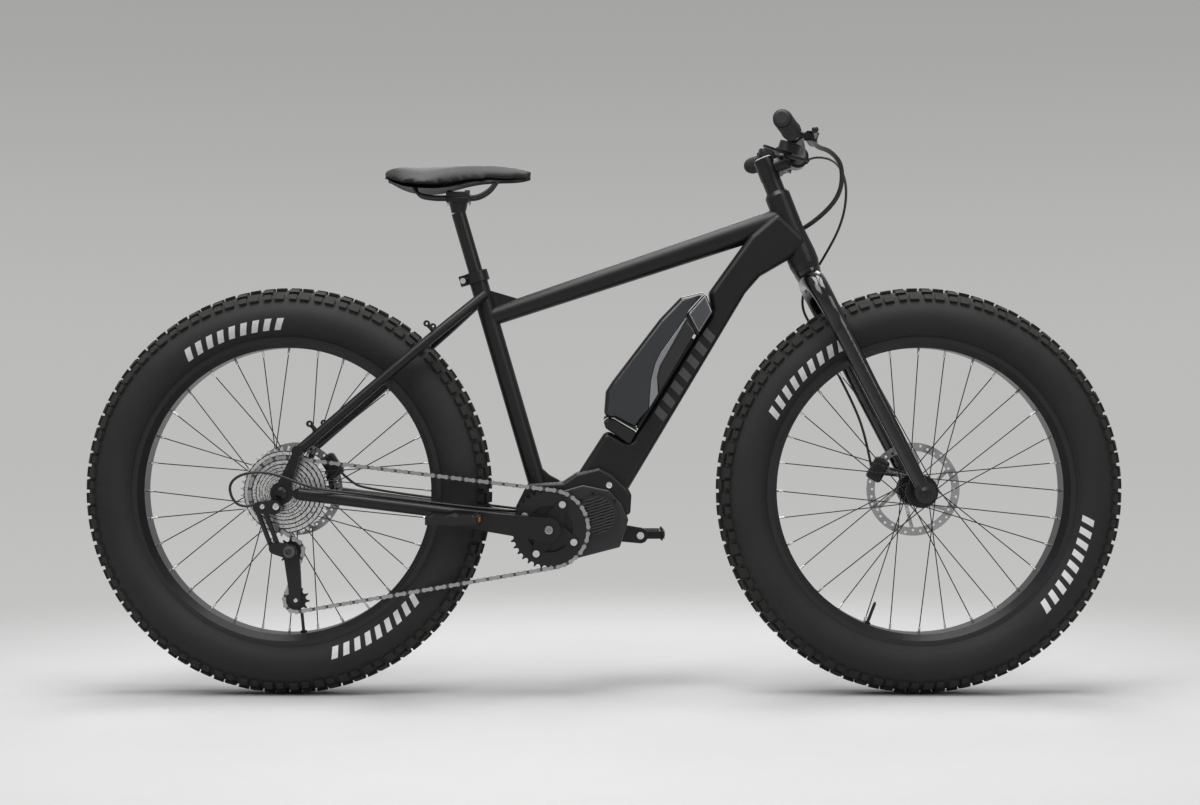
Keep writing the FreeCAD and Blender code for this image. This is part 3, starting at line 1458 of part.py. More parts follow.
def make_stays():
    """Seatstays with the dropouts and carrier eyelets welded on, and the chainstays between them and the cradle."""
    wall = size("rear_frame_width") / 2
    thick = size("dropout_thickness")
    seat_top = seat(size("seat_tube_length"))
    path = stay_points(seat_top, SEATSTAY_SHARES)
    stay = swept(path, size("stay_diameter") / 2)
    end = path[-1]
    root = size("dropout_radius") / 2
    foot = link_plate_shape(REAR_AXLE, end, size("dropout_radius"), root, -wall - thick, thick)
    chain_path = stay_points(BRACKET, CHAINSTAY_SHARES)
    chain_end = chain_path[-1]
    toe = link_plate_shape(REAR_AXLE, chain_end, size("dropout_radius"), root, -wall - thick, thick)
    pieces = [foot, toe]
    width = size("eyelet_width")
    holes = [bar(REAR_AXLE - ACROSS * (wall + 2 * thick), REAR_AXLE, size("rear_axle_diameter") / 2
                 + size("seat_clearance"))]
    for spot in stay_points(seat_top, EYELET_SHARES):
        root = nearest_point(path, spot)
        spot.y = root.y - size("stay_diameter") / 4
        pieces.append(bar(spot - ACROSS * width, spot + ACROSS * width / 2, size("eyelet_diameter") / 2))
        pieces.append(bar(spot, root, size("eyelet_diameter") / 3))
        holes.append(bar(spot - ACROSS * 2 * width, spot + ACROSS * width, size("eyelet_hole") / 2))
    right = stay.fuse(pieces).cut(holes).cut(SEAT_CORE).removeSplitter()
    right = max(right.Solids, key=lambda solid: solid.Volume)
    feature("seatstays", both_sides(right))
    tube = swept(chain_path, size("chainstay_diameter") / 2).cut([right, CRADLE, MOTOR, SEAT_CORE])
    tube = max(tube.Solids, key=lambda solid: solid.Volume)
    feature("chainstays", both_sides(tube))
    return tube


# How much of the collar lies on the seat tube
CLAMP_OVERLAP_SHARE = 0.6


def make_seat_clamp():
    """The collar round the seat tube's top, with two ears behind and a cross bolt through them."""
    top = size("seat_tube_length")
    tall = size("seat_clamp_height")
    wall = size("seat_clamp_wall")
    inner = size("seat_tube_diameter") / 2 + size("seat_clearance")
    low = top - tall * CLAMP_OVERLAP_SHARE
    ear = size("seat_clamp_ear")
    half = ear / 2 + size("seat_clamp_slot") / 2
    collar = bar(seat(low), seat(low + tall), inner + wall)
    ears = Part.makeBox(ear + wall, 2 * half, tall)
    ears.Placement = Placement(seat(low, -inner - wall - ear, -half), SEAT_TURN)
    slot = Part.makeBox(ear + 2 * wall, size("seat_clamp_slot"), tall)
    slot.Placement = Placement(seat(low, -inner - wall - ear, -size("seat_clamp_slot") / 2), SEAT_TURN)
    collar = collar.fuse(ears).cut([slot, bar(seat(low), seat(top), inner),
                                    bar(seat(top), seat(low + tall), size("seat_tube_bore") / 2)])
    spot = seat(low + tall / 2, -inner - wall - ear / 2)
    gauge = size("pivot_diameter") / 2
    bolt = bar(spot - ACROSS * (half + gauge), spot + ACROSS * (half + gauge), gauge)
    head = bar(spot - ACROSS * (half + 2 * gauge), spot - ACROSS * (half + size("seat_clearance")), 2 * gauge)
    hole = bar(spot - ACROSS * half, spot + ACROSS * half, gauge + size("seat_clearance"))
    feature("seat_clamp", Part.makeCompound([collar.cut(hole), bolt.fuse(head)]))


def make_motor():
    """The drive unit in its cradle and the ribbed cover on its right side."""
    half = size("motor_width") / 2
    spindle = bar(BRACKET - ACROSS * half, BRACKET + ACROSS * half,
                  size("spindle_diameter") / 2 + size("running_clearance"))
    housing = rounded(MOTOR, size("motor_round") / 2, on_side(half)).cut(spindle)
    feature("drive_unit", housing)
    (ahead, above), = around_bracket([COVER_SHARE])
    centre = Vector(ahead, -half - size("seat_clearance"), above)
    radius = size("motor_cover_diameter") / 2
    depth = size("motor_cover_depth")
    cover = bar(centre, centre - ACROSS * depth, radius)
    grooves = []
    pitch = size("motor_rib_pitch")
    rows = int(radius / pitch)
    for row in range(-rows, rows + 1):
        groove = Part.makeBox(2 * radius, size("motor_rib_height"), size("motor_rib_width"))
        groove.translate(centre + Vector(-radius, -depth, row * pitch - size("motor_rib_width") / 2))
        grooves.append(groove)
    ring = bar(centre, centre - ACROSS * depth, radius).cut(bar(centre, centre - ACROSS * depth, radius - pitch))
    cover = cover.cut(grooves).fuse(ring).removeSplitter()
    feature("drive_unit_cover", cover.cut(bar(BRACKET - ACROSS * (half + depth), BRACKET - ACROSS * half / 2,
                                              size("ring_bolt_circle") / 2 - size("ring_bolt_head") / 2)))


def make_battery():
    """The battery on its rail, between the lower cup and the upper lock housing."""
    tube = doc.getObject("down_tube").Shape
    rail = prism(spanned(RAIL_SHARES), size("battery_rail_width") / 2).cut(tube)
    lock_half = size("battery_width") / 2 - size("battery_gap")
    lock = rounded(prism(spanned(LOCK_SHARES), lock_half), size("battery_round") / 3, on_side(lock_half)).cut(tube)
    foot_half = size("battery_foot_width") / 2
    foot = rounded(prism(spanned(FOOT_SHARES), foot_half), size("battery_round") / 2, on_side(foot_half)).cut(tube)
    solids = [max(piece.Solids, key=lambda solid: solid.Volume) for piece in (rail, lock, foot)]
    feature("battery_holder", Part.makeCompound(solids))
    half = size("battery_width") / 2
    notch = prism(spanned(NOTCH_SHARES), half)
    case = rounded(prism(spanned(BATTERY_SHARES), half), size("battery_round"), on_side(half))
    feature("battery_case", case.cut(notch))


def by_disc(axle, share):
    """A side-view point given as shares of the disc's diameter from the axle."""
    return axle + Vector(share[0], 0, share[1]) * size("disc_diameter")


def caliper_shape(axle, plane, share):
    """A brake caliper astride a disc, its length along the disc's edge, with a slot for the disc."""
    spot = by_disc(axle, share)
    long = size("caliper_length")
    deep = size("caliper_depth")
    wide = size("caliper_width")
    block = Part.makeBox(deep, wide, long)
    block = block.makeFillet(deep / 5, block.Edges)
    block.translate(-Vector(deep, wide, long) / 2)
    lean = Rotation(Vector(1, 0, 0), spot - axle)
    block = block.transformed(Placement(spot + ACROSS * plane, lean).toMatrix(), True)
    gap = size("caliper_slot")
    slot = bar(axle + ACROSS * (plane - gap / 2), axle + ACROSS * (plane + gap / 2),
               size("disc_diameter") / 2 + gap / 2)
    return block.cut(slot)


# Shares of the disc's diameter, ahead of the axle and above it
REAR_CALIPER_SHARE = (0.389, 0.25)
REAR_POST_SHARES = ((0.344, 0.167), (0.422, -0.033))


def make_rear_caliper(chainstay):
    """The rear caliper on the left, with the post that stands on the chainstay."""
    plane = size("rear_disc_plane")
    body = caliper_shape(REAR_AXLE, plane, REAR_CALIPER_SHARE)
    outer = plane + size("caliper_width") / 2
    start = plane + size("caliper_slot")
    ends = [by_disc(REAR_AXLE, share) for share in REAR_POST_SHARES]
    radius = size("caliper_depth") / 4
    post = link_plate_shape(ends[0], ends[1], radius, radius, start, outer - start)
    left_stay = chainstay.mirror(ORIGIN, ACROSS)
    body = body.fuse(post).cut(left_stay).removeSplitter()
    feature("rear_caliper", max(body.Solids, key=lambda solid: solid.Volume))


RIGHT_CHAINSTAY = make_stays()
make_seat_clamp()
make_motor()
make_battery()
make_rear_caliper(RIGHT_CHAINSTAY)


# Fork and stem
# Centre line of the right fork leg: share of the fork's length up, share of the leg's plane across,
# then how far along the taper from the crown's section to the leg's foot
LEG_SHARES = ((0.953, 0.0, 0.0), (0.951, 0.34, 0.04), (0.927, 0.70, 0.14), (0.875, 0.92, 0.24), (0.80, 0.99, 0.32),
              (0.725, 1.0, 0.42), (0.0, 1.0, 1.0))
CROWN_TAPER_SHARE = 0.3


def leg_section(index, places):
    """The oval section of the leg at one of its places."""
    last = len(places) - 1
    along = places[min(index + 1, last)] - places[max(index - 1, 0)]
    if index == 0:
        along = RIGHT
    if index >= last - 1:
        along = places[last] - places[last - 1]
    taper = LEG_SHARES[index][2]
    crown_share = max(0.0, 1 - taper / CROWN_TAPER_SHARE)
    deep = size("leg_top_depth") + (size("leg_low_depth") - size("leg_top_depth")) * taper
    wide = size("leg_top_width") + (size("leg_low_width") - size("leg_top_width")) * taper
    deep += (size("crown_depth") - size("leg_top_depth")) * crown_share
    wide += (size("crown_height") - size("leg_top_width")) * crown_share
    return oval(places[index], along, STEER_AHEAD, deep / 2, wide / 2)


def make_fork():
    """A rigid fork: two tapering legs under an arched crown, with the steerer tube and the axle bosses."""
    top = ("fork_length + 2 * head_cup_height + head_tube_length + spacer_height + stem_height"
           " - top_cap_height / 2")
    column = turned("fork_column", "XZ_Plane", [
        ("0", "fork_length - crown_height / 2"),
        ("crown_depth / 2", "fork_length - crown_height / 2"),
        ("head_tube_low_diameter / 2 - overrun / 2", "fork_length - overrun"),
        ("head_tube_low_diameter / 2 - overrun / 2", "fork_length"),
        ("steerer_low_diameter / 2", "fork_length"),
        ("steerer_low_diameter / 2", "fork_length + head_tube_length / 3"),
        ("steerer_diameter / 2", "fork_length + head_tube_length * 2 / 3"),
        ("steerer_diameter / 2", top),
        ("0", top),
    ])
    column.Placement = Placement(STEER_FOOT, HEAD_TURN)
    doc.recompute()
    length = size("fork_length")
    places = []
    for share, across, _ in LEG_SHARES:
        ahead = size("fork_offset") * (1 - share / LEG_SHARES[0][0])
        places.append(steer(share * length, ahead, -across * size("fork_leg_plane")))
    sections = [leg_section(index, places) for index in range(len(places))]
    leg = lofted(sections[:-1]).fuse(lofted(sections[-2:]))
    inner = size("front_fork_width") / 2
    outer = inner + size("fork_boss_width")
    boss = bar(FRONT_AXLE - ACROSS * outer, FRONT_AXLE - ACROSS * inner, size("fork_boss_diameter") / 2)
    right = leg.fuse(boss)
    axle = bar(FRONT_AXLE - ACROSS * outer, FRONT_AXLE + ACROSS * outer,
               size("front_axle_diameter") / 2 + size("seat_clearance"))
    hub_gap = bar(FRONT_AXLE - ACROSS * inner, FRONT_AXLE + ACROSS * inner, size("fork_boss_diameter"))
    head_reach = outer + size("axle_head_length") + size("overrun")
    head_seats = [bar(FRONT_AXLE + side * outer, FRONT_AXLE + side * head_reach,
                      size("axle_head_diameter") / 2 + size("side_clearance")) for side in (ACROSS, RIGHT)]
    fork = right.fuse([right.mirror(ORIGIN, ACROSS), column.Shape]).cut([axle, hub_gap] + head_seats)
    return feature("fork", max(fork.Solids, key=lambda solid: solid.Volume))


def make_stem():
    """The stem on the steerer with the bar clamp ahead of it, the spacers under it and the cap on top."""
    steer_bore = "steerer_diameter / 2 + seat_clearance"
    low = "fork_length + 2 * head_cup_height + head_tube_length"
    rings = []
    spacer_count = 3
    for index in range(spacer_count):
        begin = f"{low} + spacer_height * {index} / {spacer_count} + seat_clearance"
        end = f"{low} + spacer_height * {index + 1} / {spacer_count}"
        ring = turned(f"spacer_{index + 1}", "XZ_Plane", [
            (steer_bore, begin), ("spacer_diameter / 2", begin), ("spacer_diameter / 2", end), (steer_bore, end)])
        ring.Placement = Placement(STEER_FOOT, HEAD_TURN)
        rings.append(ring)
    high = f"{low} + spacer_height + stem_height"
    cap = turned("top_cap", "XZ_Plane", [
        ("0", f"{high} + seat_clearance"),
        ("spacer_diameter / 2", f"{high} + seat_clearance"),
        ("spacer_diameter / 2", f"{high} + top_cap_height / 2"),
        ("spacer_diameter / 3", f"{high} + top_cap_height"),
        ("0", f"{high} + top_cap_height"),
    ])
    cap.Placement = Placement(STEER_FOOT, HEAD_TURN)
    grouped("headset_spacers", rings + [cap])
    collar = cylinder("stem_collar", "stem_clamp_diameter / 2", "stem_height - seat_clearance",
                      Placement(steer(STEM_LOW + size("seat_clearance")), HEAD_TURN))
    arm = cylinder("stem_arm", "stem_clamp_diameter / 2 - overrun", "stem_length",
                   Placement(steer(STEM_MIDDLE), Rotation(UP, STEER_AHEAD)))
    half = size("stem_clamp_width") / 2
    clamp = cylinder("stem_bar_clamp", "bar_clamp_diameter / 2 + lever_clamp_wall", "stem_clamp_width",
                     crosswise(BAR_CENTRE + ACROSS * half))
    body = joined("stem_body", [collar, arm, clamp])
    steer_hole = cylinder("stem_steer_hole", steer_bore, "stem_height + 2 * overrun",
                          Placement(steer(STEM_LOW - size("overrun")), HEAD_TURN))
    bar_hole = cylinder("stem_bar_hole", "bar_clamp_diameter / 2 + seat_clearance", "stem_clamp_width + 2 * overrun",
                        crosswise(BAR_CENTRE + ACROSS * (half + size("overrun"))))
    node(removed("stem", body, joined("stem_holes", [steer_hole, bar_hole])))


BAR_CENTRE = steer(STEM_MIDDLE, size("stem_length"))
# Right half of the handlebar: share of half the width, of the sweep and of the rise
BAR_SHARES = ((0.2, 0.0, 0.0), (0.36, 0.16, 0.66), (1.0, 1.0, 1.0))
BULGE_SHARE = 0.08
TAPER_SHARE = 0.115


def bar_points():
    """Corner points of the right half of the handlebar, from the middle outwards."""
    half = size("bar_width") / 2
    return [BAR_CENTRE + Vector(-size("bar_sweep") * sweep, -half * out, size("bar_rise") * rise)
            for out, sweep, rise in BAR_SHARES]


BAR_POINTS = bar_points()
BAR_END = BAR_POINTS[-1]
BAR_OUT = (BAR_POINTS[-1] - BAR_POINTS[-2]).normalize()
LEVER_TURN = Rotation(BAR_OUT, -size("lever_drop"))
GRIP_AHEAD = LEVER_TURN.multVec((Vector(1, 0, 0) - BAR_OUT * BAR_OUT.x).normalize())
GRIP_UP = BAR_OUT.cross(GRIP_AHEAD)
print(f"right grip axes: out {BAR_OUT}, ahead {GRIP_AHEAD}, up {GRIP_UP}")


def grip(out, ahead=0.0, up=0.0):
    """A point in the right grip's frame: outward from the bar's end, ahead of the bar and above it."""
    return BAR_END + BAR_OUT * out + GRIP_AHEAD * ahead + GRIP_UP * up


def flat_link(one, two, radius_one, radius_two, normal, thick):
    """A plate from one eye to another, centred on both points, square to a direction."""
    along = two - one
    reach = along.Length
    plate = link_plate_shape(ORIGIN, Vector(reach, 0, 0), radius_one, radius_two, -thick / 2, thick)
    along.normalize()
    turn = Rotation(along, normal, along.cross(normal), "XYZ")
    return plate.transformed(Placement(one, turn).toMatrix(), True)


def make_handlebar():
    """A riser bar of one gauge with a thicker middle, and the two grips on its ends."""
    right = list(reversed(BAR_POINTS))
    left = [Vector(point.x, -point.y, point.z) for point in BAR_POINTS]
    tube = swept(right + left, size("bar_diameter") / 2)
    half = size("bar_width") / 2
    bulge = bar(BAR_CENTRE - ACROSS * half * BULGE_SHARE, BAR_CENTRE + ACROSS * half * BULGE_SHARE,
                size("bar_clamp_diameter") / 2)
    tapers = [Part.makeCone(size("bar_clamp_diameter") / 2, size("bar_diameter") / 2,
                            half * (TAPER_SHARE - BULGE_SHARE),
                            BAR_CENTRE + side * half * BULGE_SHARE, side) for side in (ACROSS, RIGHT)]
    feature("handlebar", tube.fuse([bulge] + tapers))
    bore = "bar_diameter / 2 + seat_clearance"
    cover = turned("grip_right", "XZ_Plane", [
        (bore, "0 - grip_length"),
        ("grip_flange / 2", "0 - grip_length"),
        ("grip_flange / 2", "overrun - grip_length"),
        ("grip_diameter / 2 - overrun / 3", "2 * overrun - grip_length"),
        ("grip_diameter / 2", "0 - grip_length / 2"),
        ("grip_diameter / 2 - overrun / 3", "0 - overrun"),
        ("grip_diameter / 2", "0"),
        ("grip_diameter / 3", "overrun"),
        ("0", "overrun"),
        ("0", "seat_clearance"),
        (bore, "seat_clearance"),
    ])
    cover.Placement = Placement(BAR_END, Rotation(UP, BAR_OUT))
    grouped("grips", [cover, mirrored("grip_left", cover)])


LEVER_OUT = -(size("grip_length") + size("lever_gap") + size("lever_clamp_width") / 2)
# Shares of the lever's length outwards and of its reach ahead, from the pivot to the tip
BLADE_SHARES = ((0.0, 1.0), (0.25, 1.12), (0.6, 1.20), (1.0, 1.30))
CYLINDER_AHEAD_SHARE = 0.74
EAR_WALL_SHARE = 0.5
NECK_SHARE = 0.9


def lever_pivot():
    """Where the brake lever turns: outward of its clamp and ahead of the bar."""
    return LEVER_OUT + size("lever_clamp_width"), size("lever_reach")


def make_brake_levers():
    """A hydraulic brake lever at each grip: clamp with its cylinder, and the blade that turns on it."""
    half = size("lever_clamp_width") / 2
    gauge = size("bar_diameter") / 2
    out, ahead = lever_pivot()
    blade_half = size("lever_blade") / 2
    wall = size("lever_clamp_wall")
    cyl = size("cylinder_diameter") / 2
    cyl_ahead = size("lever_reach") * CYLINDER_AHEAD_SHARE
    ring = bar(grip(LEVER_OUT - half), grip(LEVER_OUT + half), gauge + wall)
    master = bar(grip(LEVER_OUT + half - size("cylinder_length"), cyl_ahead), grip(LEVER_OUT + half, cyl_ahead), cyl)
    neck = bar(grip(LEVER_OUT, gauge / 2), grip(LEVER_OUT, cyl_ahead), half * NECK_SHARE)
    ear_plane = blade_half + size("side_clearance") + wall * EAR_WALL_SHARE / 2
    ears = [flat_link(grip(LEVER_OUT, cyl_ahead, sign * ear_plane), grip(out, ahead, sign * ear_plane), half, half,
                      GRIP_UP, wall * EAR_WALL_SHARE) for sign in (-1, 1)]
    pin = size("pivot_diameter") / 2
    room = bar(grip(out, ahead, -blade_half - size("side_clearance")),
               grip(out, ahead, blade_half + size("side_clearance")), half + 2 * size("side_clearance"))
    span = ear_plane + wall * EAR_WALL_SHARE / 2
    pivot = bar(grip(out, ahead, -span), grip(out, ahead, span), pin)
    hole = bar(grip(LEVER_OUT - 2 * half), grip(LEVER_OUT + 2 * half), gauge + size("seat_clearance"))
    mount = ring.fuse([master, neck]).cut([room, hole]).fuse(ears + [pivot])
    mount = max(mount.Solids, key=lambda solid: solid.Volume)
    feature("brake_lever_mounts", both_sides(mount))
    eye = bar(grip(out, ahead, -blade_half), grip(out, ahead, blade_half), half - size("side_clearance"))
    reach = size("lever_length")
    places = [grip(out + reach * along, ahead * share) for along, share in BLADE_SHARES]
    sections = []
    for index, place in enumerate(places):
        along = places[min(index + 1, len(places) - 1)] - places[max(index - 1, 0)]
        sections.append(oval(place, along, GRIP_UP, blade_half - size("side_clearance"), blade_half / 2))
    tip = Part.makeSphere(blade_half, places[-1])
    bore = bar(grip(out, ahead, -2 * blade_half), grip(out, ahead, 2 * blade_half), pin + size("running_clearance"))
    blade = lofted(sections).fuse([eye, tip]).cut(bore)
    feature("brake_lever_right", blade)
    feature("brake_lever_left", Part.makeCompound([blade.mirror(ORIGIN, ACROSS)]))
    print(f"right lever pivot {grip(out, ahead)}, axis {GRIP_UP}")


def pod_band(out, width):
    """A band round the bar that carries a control pod."""
    gauge = size("bar_diameter") / 2
    return (bar(grip(out - width / 2), grip(out + width / 2), gauge + size("lever_clamp_wall")),
            bar(grip(out - width), grip(out + width), gauge + size("seat_clearance")))


# Paddle tips as shares of the paddle's length: outward and ahead of the pod's axis
THUMB_SHARE = (0.5, -0.9)
RELEASE_SHARE = (0.55, 0.85)


def make_shifter():
    """The gear shifter under the right of the bar, with a thumb paddle behind and a release paddle ahead."""
    width = size("lever_clamp_width")
    out = LEVER_OUT - size("pod_setback")
    band, hole = pod_band(out, width)
    drop = size("pod_drop")
    tall = size("pod_height")
    high = drop - tall / 2
    low = drop + tall / 2
    pod = bar(grip(out, 0, -high), grip(out, 0, -low), size("pod_diameter") / 2)
    neck = bar(grip(out), grip(out, 0, -drop), width / 3)
    thick = size("paddle_thickness")
    gap = size("side_clearance")
    planes = [low + gap + thick / 2, low + 2 * gap + thick * 3 / 2]
    pin = size("pivot_diameter") / 2
    axle = bar(grip(out, 0, -low + tall / 2), grip(out, 0, -low - 2 * thick - 3 * gap), pin)
    head = bar(grip(out, 0, -low - 2 * thick - 3 * gap), grip(out, 0, -low - 3 * thick - 3 * gap), 2 * pin)
    feature("shifter_body", band.fuse([pod, neck]).cut(hole).fuse([axle, head]).removeSplitter())
    length = size("paddle_length")
    eye = size("paddle_width") / 2
    for label, plane, (along, ahead) in (("shift_thumb_lever", planes[0], THUMB_SHARE),
                                         ("shift_release_lever", planes[1], RELEASE_SHARE)):
        paddle = flat_link(grip(out, 0, -plane), grip(out + along * length, ahead * length, -plane), eye,
                           eye, GRIP_UP, thick)
        bore = bar(grip(out, 0, -plane - thick), grip(out, 0, -plane + thick), pin + size("running_clearance"))
        feature(label, paddle.cut(bore))
    print(f"shifter axis {grip(out)}, along {GRIP_UP}")


def make_assist_switch():
    """The support-level switch at the left grip: a pod behind the bar with a rocker on its rear face."""
    width = size("lever_clamp_width")
    out = LEVER_OUT - size("pod_setback")
    band, hole = pod_band(out, width)
    deep = size("pod_height")
    tall = size("rocker_length") + 2 * size("overrun")
    wide = size("rocker_width") + 2 * size("overrun")
    gauge = size("bar_diameter") / 2
    rear = gauge + deep
    block = Part.makeBox(wide, deep, tall)
    block = block.makeFillet(size("overrun") / 2, block.Edges)
    turn = Rotation(BAR_OUT, GRIP_AHEAD, GRIP_UP, "XYZ")
    block = block.transformed(Placement(grip(out - wide / 2, -rear, -tall / 2), turn).toMatrix(), True)
    pin = size("pivot_diameter") / 2
    gap = size("side_clearance")
    thick = size("paddle_thickness")
    axis = rear + pin + size("lever_gap") / 2
    half = size("rocker_width") / 2
    cheeks = []
    for sign in (-1, 1):
        middle = sign * (half + gap + size("overrun") / 4)
        cheeks.append(flat_link(grip(out + middle, -rear + pin), grip(out + middle, -axis), 2 * pin, 2 * pin, BAR_OUT,
                                size("overrun") / 2))
    trunnion = bar(grip(out - half - gap - size("overrun") / 2, -axis),
                   grip(out + half + gap + size("overrun") / 2, -axis), pin / 2)
    body = band.fuse(block).cut(hole).fuse(cheeks + [trunnion]).removeSplitter()
    feature("assist_switch", Part.makeCompound([body.mirror(ORIGIN, ACROSS)]))
    plate = Part.makeBox(size("rocker_width"), thick, size("rocker_length"))
    plate = plate.makeFillet(thick / 4, plate.Edges)
    plate = plate.transformed(Placement(grip(out - half, -axis - thick, -size("rocker_length") / 2), turn).toMatrix(),
                              True)
    barrel = bar(grip(out - half, -axis), grip(out + half, -axis), pin)
    bore = bar(grip(out - wide, -axis), grip(out + wide, -axis), pin / 2 + size("running_clearance"))
    rocker = plate.fuse(barrel).cut(bore).removeSplitter()
    feature("assist_rocker", Part.makeCompound([rocker.mirror(ORIGIN, ACROSS)]))
    print(f"rocker axis through {grip(out, -axis)} mirrored, along {BAR_OUT} mirrored")


# How much of the screen lies behind the bar's middle
DISPLAY_SETBACK_SHARE = 0.8


def make_display():
    """The small screen on top of the stem's bar clamp."""
    long = size("display_length")
    wide = size("display_width")
    tall = size("display_height")
    rest = STEM_MIDDLE + size("bar_clamp_diameter") / 2 + size("lever_clamp_wall") + size("seat_clearance")
    block = Part.makeBox(long, wide, tall)
    block = block.makeFillet(tall / 4, block.Edges)
    place = Placement(steer(rest, size("stem_length") - long * DISPLAY_SETBACK_SHARE, -wide / 2), HEAD_TURN)
    feature("display", block.transformed(place.toMatrix(), True))


FRONT_CALIPER_SHARE = (-0.378, 0.211)
FRONT_POST_SHARES = ((-0.32, 0.19), (-0.13, 0.17))


def make_front_caliper(fork):
    """The front caliper behind the left fork leg, with the post that is bolted to the leg."""
    plane = size("front_disc_plane")
    body = caliper_shape(FRONT_AXLE, plane, FRONT_CALIPER_SHARE)
    outer = plane + size("caliper_width") / 2
    start = plane + size("caliper_slot")
    ends = [by_disc(FRONT_AXLE, share) for share in FRONT_POST_SHARES]
    radius = size("caliper_depth") / 4
    post = link_plate_shape(ends[0], ends[1], radius, radius, start, outer - start)
    body = body.fuse(post).cut(fork).removeSplitter()
    feature("front_caliper", max(body.Solids, key=lambda solid: solid.Volume))


FORK = make_fork()
make_stem()
make_handlebar()
make_brake_levers()
make_shifter()
make_assist_switch()
make_display()
make_front_caliper(FORK.Shape)


# Seat: post, rail clamp, rails, base shell and pad
# The saddle from tail to nose: share of its length, half width, top and lower edge below the saddle's height;
# the heights are shares of the saddle's depth
SADDLE_SHARES = (
    (0.0, 0.50, 0.16, 0.52), (0.06, 0.78, 0.05, 0.68), (0.15, 0.95, 0.05, 0.88), (0.26, 1.0, 0.13, 0.96),
    (0.36, 0.86, 0.13, 0.95), (0.51, 0.54, 0.07, 0.78), (0.66, 0.36, 0.03, 0.62), (0.80, 0.29, 0.0, 0.58),
    (0.92, 0.25, 0.02, 0.55), (1.0, 0.17, 0.06, 0.45),
)
HOLLOW_SHARE = 0.2
SHELL_MARGIN_SHARE = 0.86


def saddle_section(share, half, high, edge, drop, rise):
    """One closed cross-section of the saddle between a lower and an upper arc."""
    ahead = size("saddle_tail") + share * size("saddle_length")
    level = size("saddle_height") - edge - drop
    left = Vector(ahead, half, level)
    right = Vector(ahead, -half, level)
    low = Vector(ahead, 0, level + size("saddle_depth") * HOLLOW_SHARE)
    top = Vector(ahead, 0, size("saddle_height") - high) if rise is None else low + UP * rise
    return Part.Wire([Part.Arc(left, top, right).toShape(), Part.Arc(right, low, left).toShape()])


def make_saddle():
    """The crowned pad on its base shell."""
    deep = size("saddle_depth")
    half = size("saddle_width") / 2
    pads = []
    shells = []
    wall = size("saddle_shell_wall")
    for share, wide, high, edge in SADDLE_SHARES:
        pads.append(saddle_section(share, half * wide, deep * high, deep * edge, 0.0, None))
        shells.append(saddle_section(share, half * wide * SHELL_MARGIN_SHARE, deep * high, deep * edge, wall, wall))
    pad = lofted(pads)
    shell = lofted(shells).cut(pad)
    shell = max(shell.Solids, key=lambda solid: solid.Volume)
    feature("saddle_pad", pad)
    feature("saddle_shell", shell)
    return pad, shell


# One rail: share of the saddle's length from its tail, share of half the spread, share of the depth above the rail
RAIL_PATH_SHARES = ((0.17, 1.25, 0.9), (0.21, 1.1, 0.12), (0.32, 1.0, 0.0), (0.63, 1.0, 0.0), (0.72, 0.8, 0.30),
                    (0.80, 0.5, 1.0))


def make_rails(pad, shell):
    """Two steel rails from the shell's tail to its nose."""
    points = []
    for along, across, lift in RAIL_PATH_SHARES:
        points.append(Vector(size("saddle_tail") + along * size("saddle_length"), -across * size("rail_spread") / 2,
                             size("rail_level") + lift * size("saddle_depth")))
    rail = swept(points, size("rail_diameter") / 2).cut([shell, pad])
    rail = min(rail.Solids, key=lambda solid: solid.BoundBox.ZMin)
    feature("saddle_rails", both_sides(rail))


def make_seatpost():
    """The post with its forged head, and the clamp plate with two bolts over the rails."""
    gauge = size("seatpost_diameter") / 2
    top = seat(size("seatpost_reach"))
    foot = seat(size("seat_tube_length") - size("seatpost_insert"))
    post = bar(foot, top, gauge)
    rail = size("rail_diameter") / 2
    long = size("rail_clamp_length")
    wide = size("rail_spread") + 4 * rail
    thick = size("rail_clamp_height")
    level = size("rail_level")
    middle = top.x
    base = Part.makeBox(long, wide, thick)
    base = base.makeFillet(rail / 2, base.Edges)
    base.translate(Vector(middle - long / 2, -wide / 2, level - thick))
    head = Part.makeCone(gauge, wide / 3, level - thick / 2 - top.z, top, UP)
    grooves = [bar(Vector(middle - long, side * size("rail_spread") / 2, level),
                   Vector(middle + long, side * size("rail_spread") / 2, level), rail + size("seat_clearance"))
               for side in (-1, 1)]
    bolt = size("pivot_diameter") / 2
    spots = [Vector(middle + sign * (long / 2 - 2 * bolt), 0, level) for sign in (-1, 1)]
    drills = [bar(spot - UP * 2 * thick, spot + UP * 2 * thick, bolt + size("seat_clearance")) for spot in spots]
    room = [bar(spot - UP * (top.Length), spot - UP * (thick + size("seat_clearance")), 2 * bolt + size("side_clearance"))
            for spot in spots]
    seatpost = post.fuse([head.cut(room), base]).cut(grooves + drills).removeSplitter()
    split = Part.makeBox(2 * long, 2 * wide, thick)
    split.translate(Vector(middle - long, -wide, level - size("side_clearance") / 2))
    seatpost = seatpost.cut(split)
    feature("seatpost", max(seatpost.Solids, key=lambda solid: solid.Volume))
    plate = Part.makeBox(long, wide, thick)
    plate = plate.makeFillet(rail / 2, plate.Edges)
    plate.translate(Vector(middle - long / 2, -wide / 2, level + size("side_clearance") / 2))
    plate = plate.cut(grooves + drills)
    bolts = []
    for spot in spots:
        shank = bar(spot - UP * (thick + 2 * bolt), spot + UP * (thick + 2 * bolt), bolt)
        nut = bar(spot + UP * (thick + size("side_clearance")), spot + UP * (thick + 2 * bolt), 2 * bolt)
        cap = bar(spot - UP * (thick + 2 * bolt), spot - UP * (thick + size("seat_clearance")), 2 * bolt)
        bolts.append(shank.fuse([nut, cap]).removeSplitter())
    feature("saddle_clamp", Part.makeCompound([plate] + bolts))


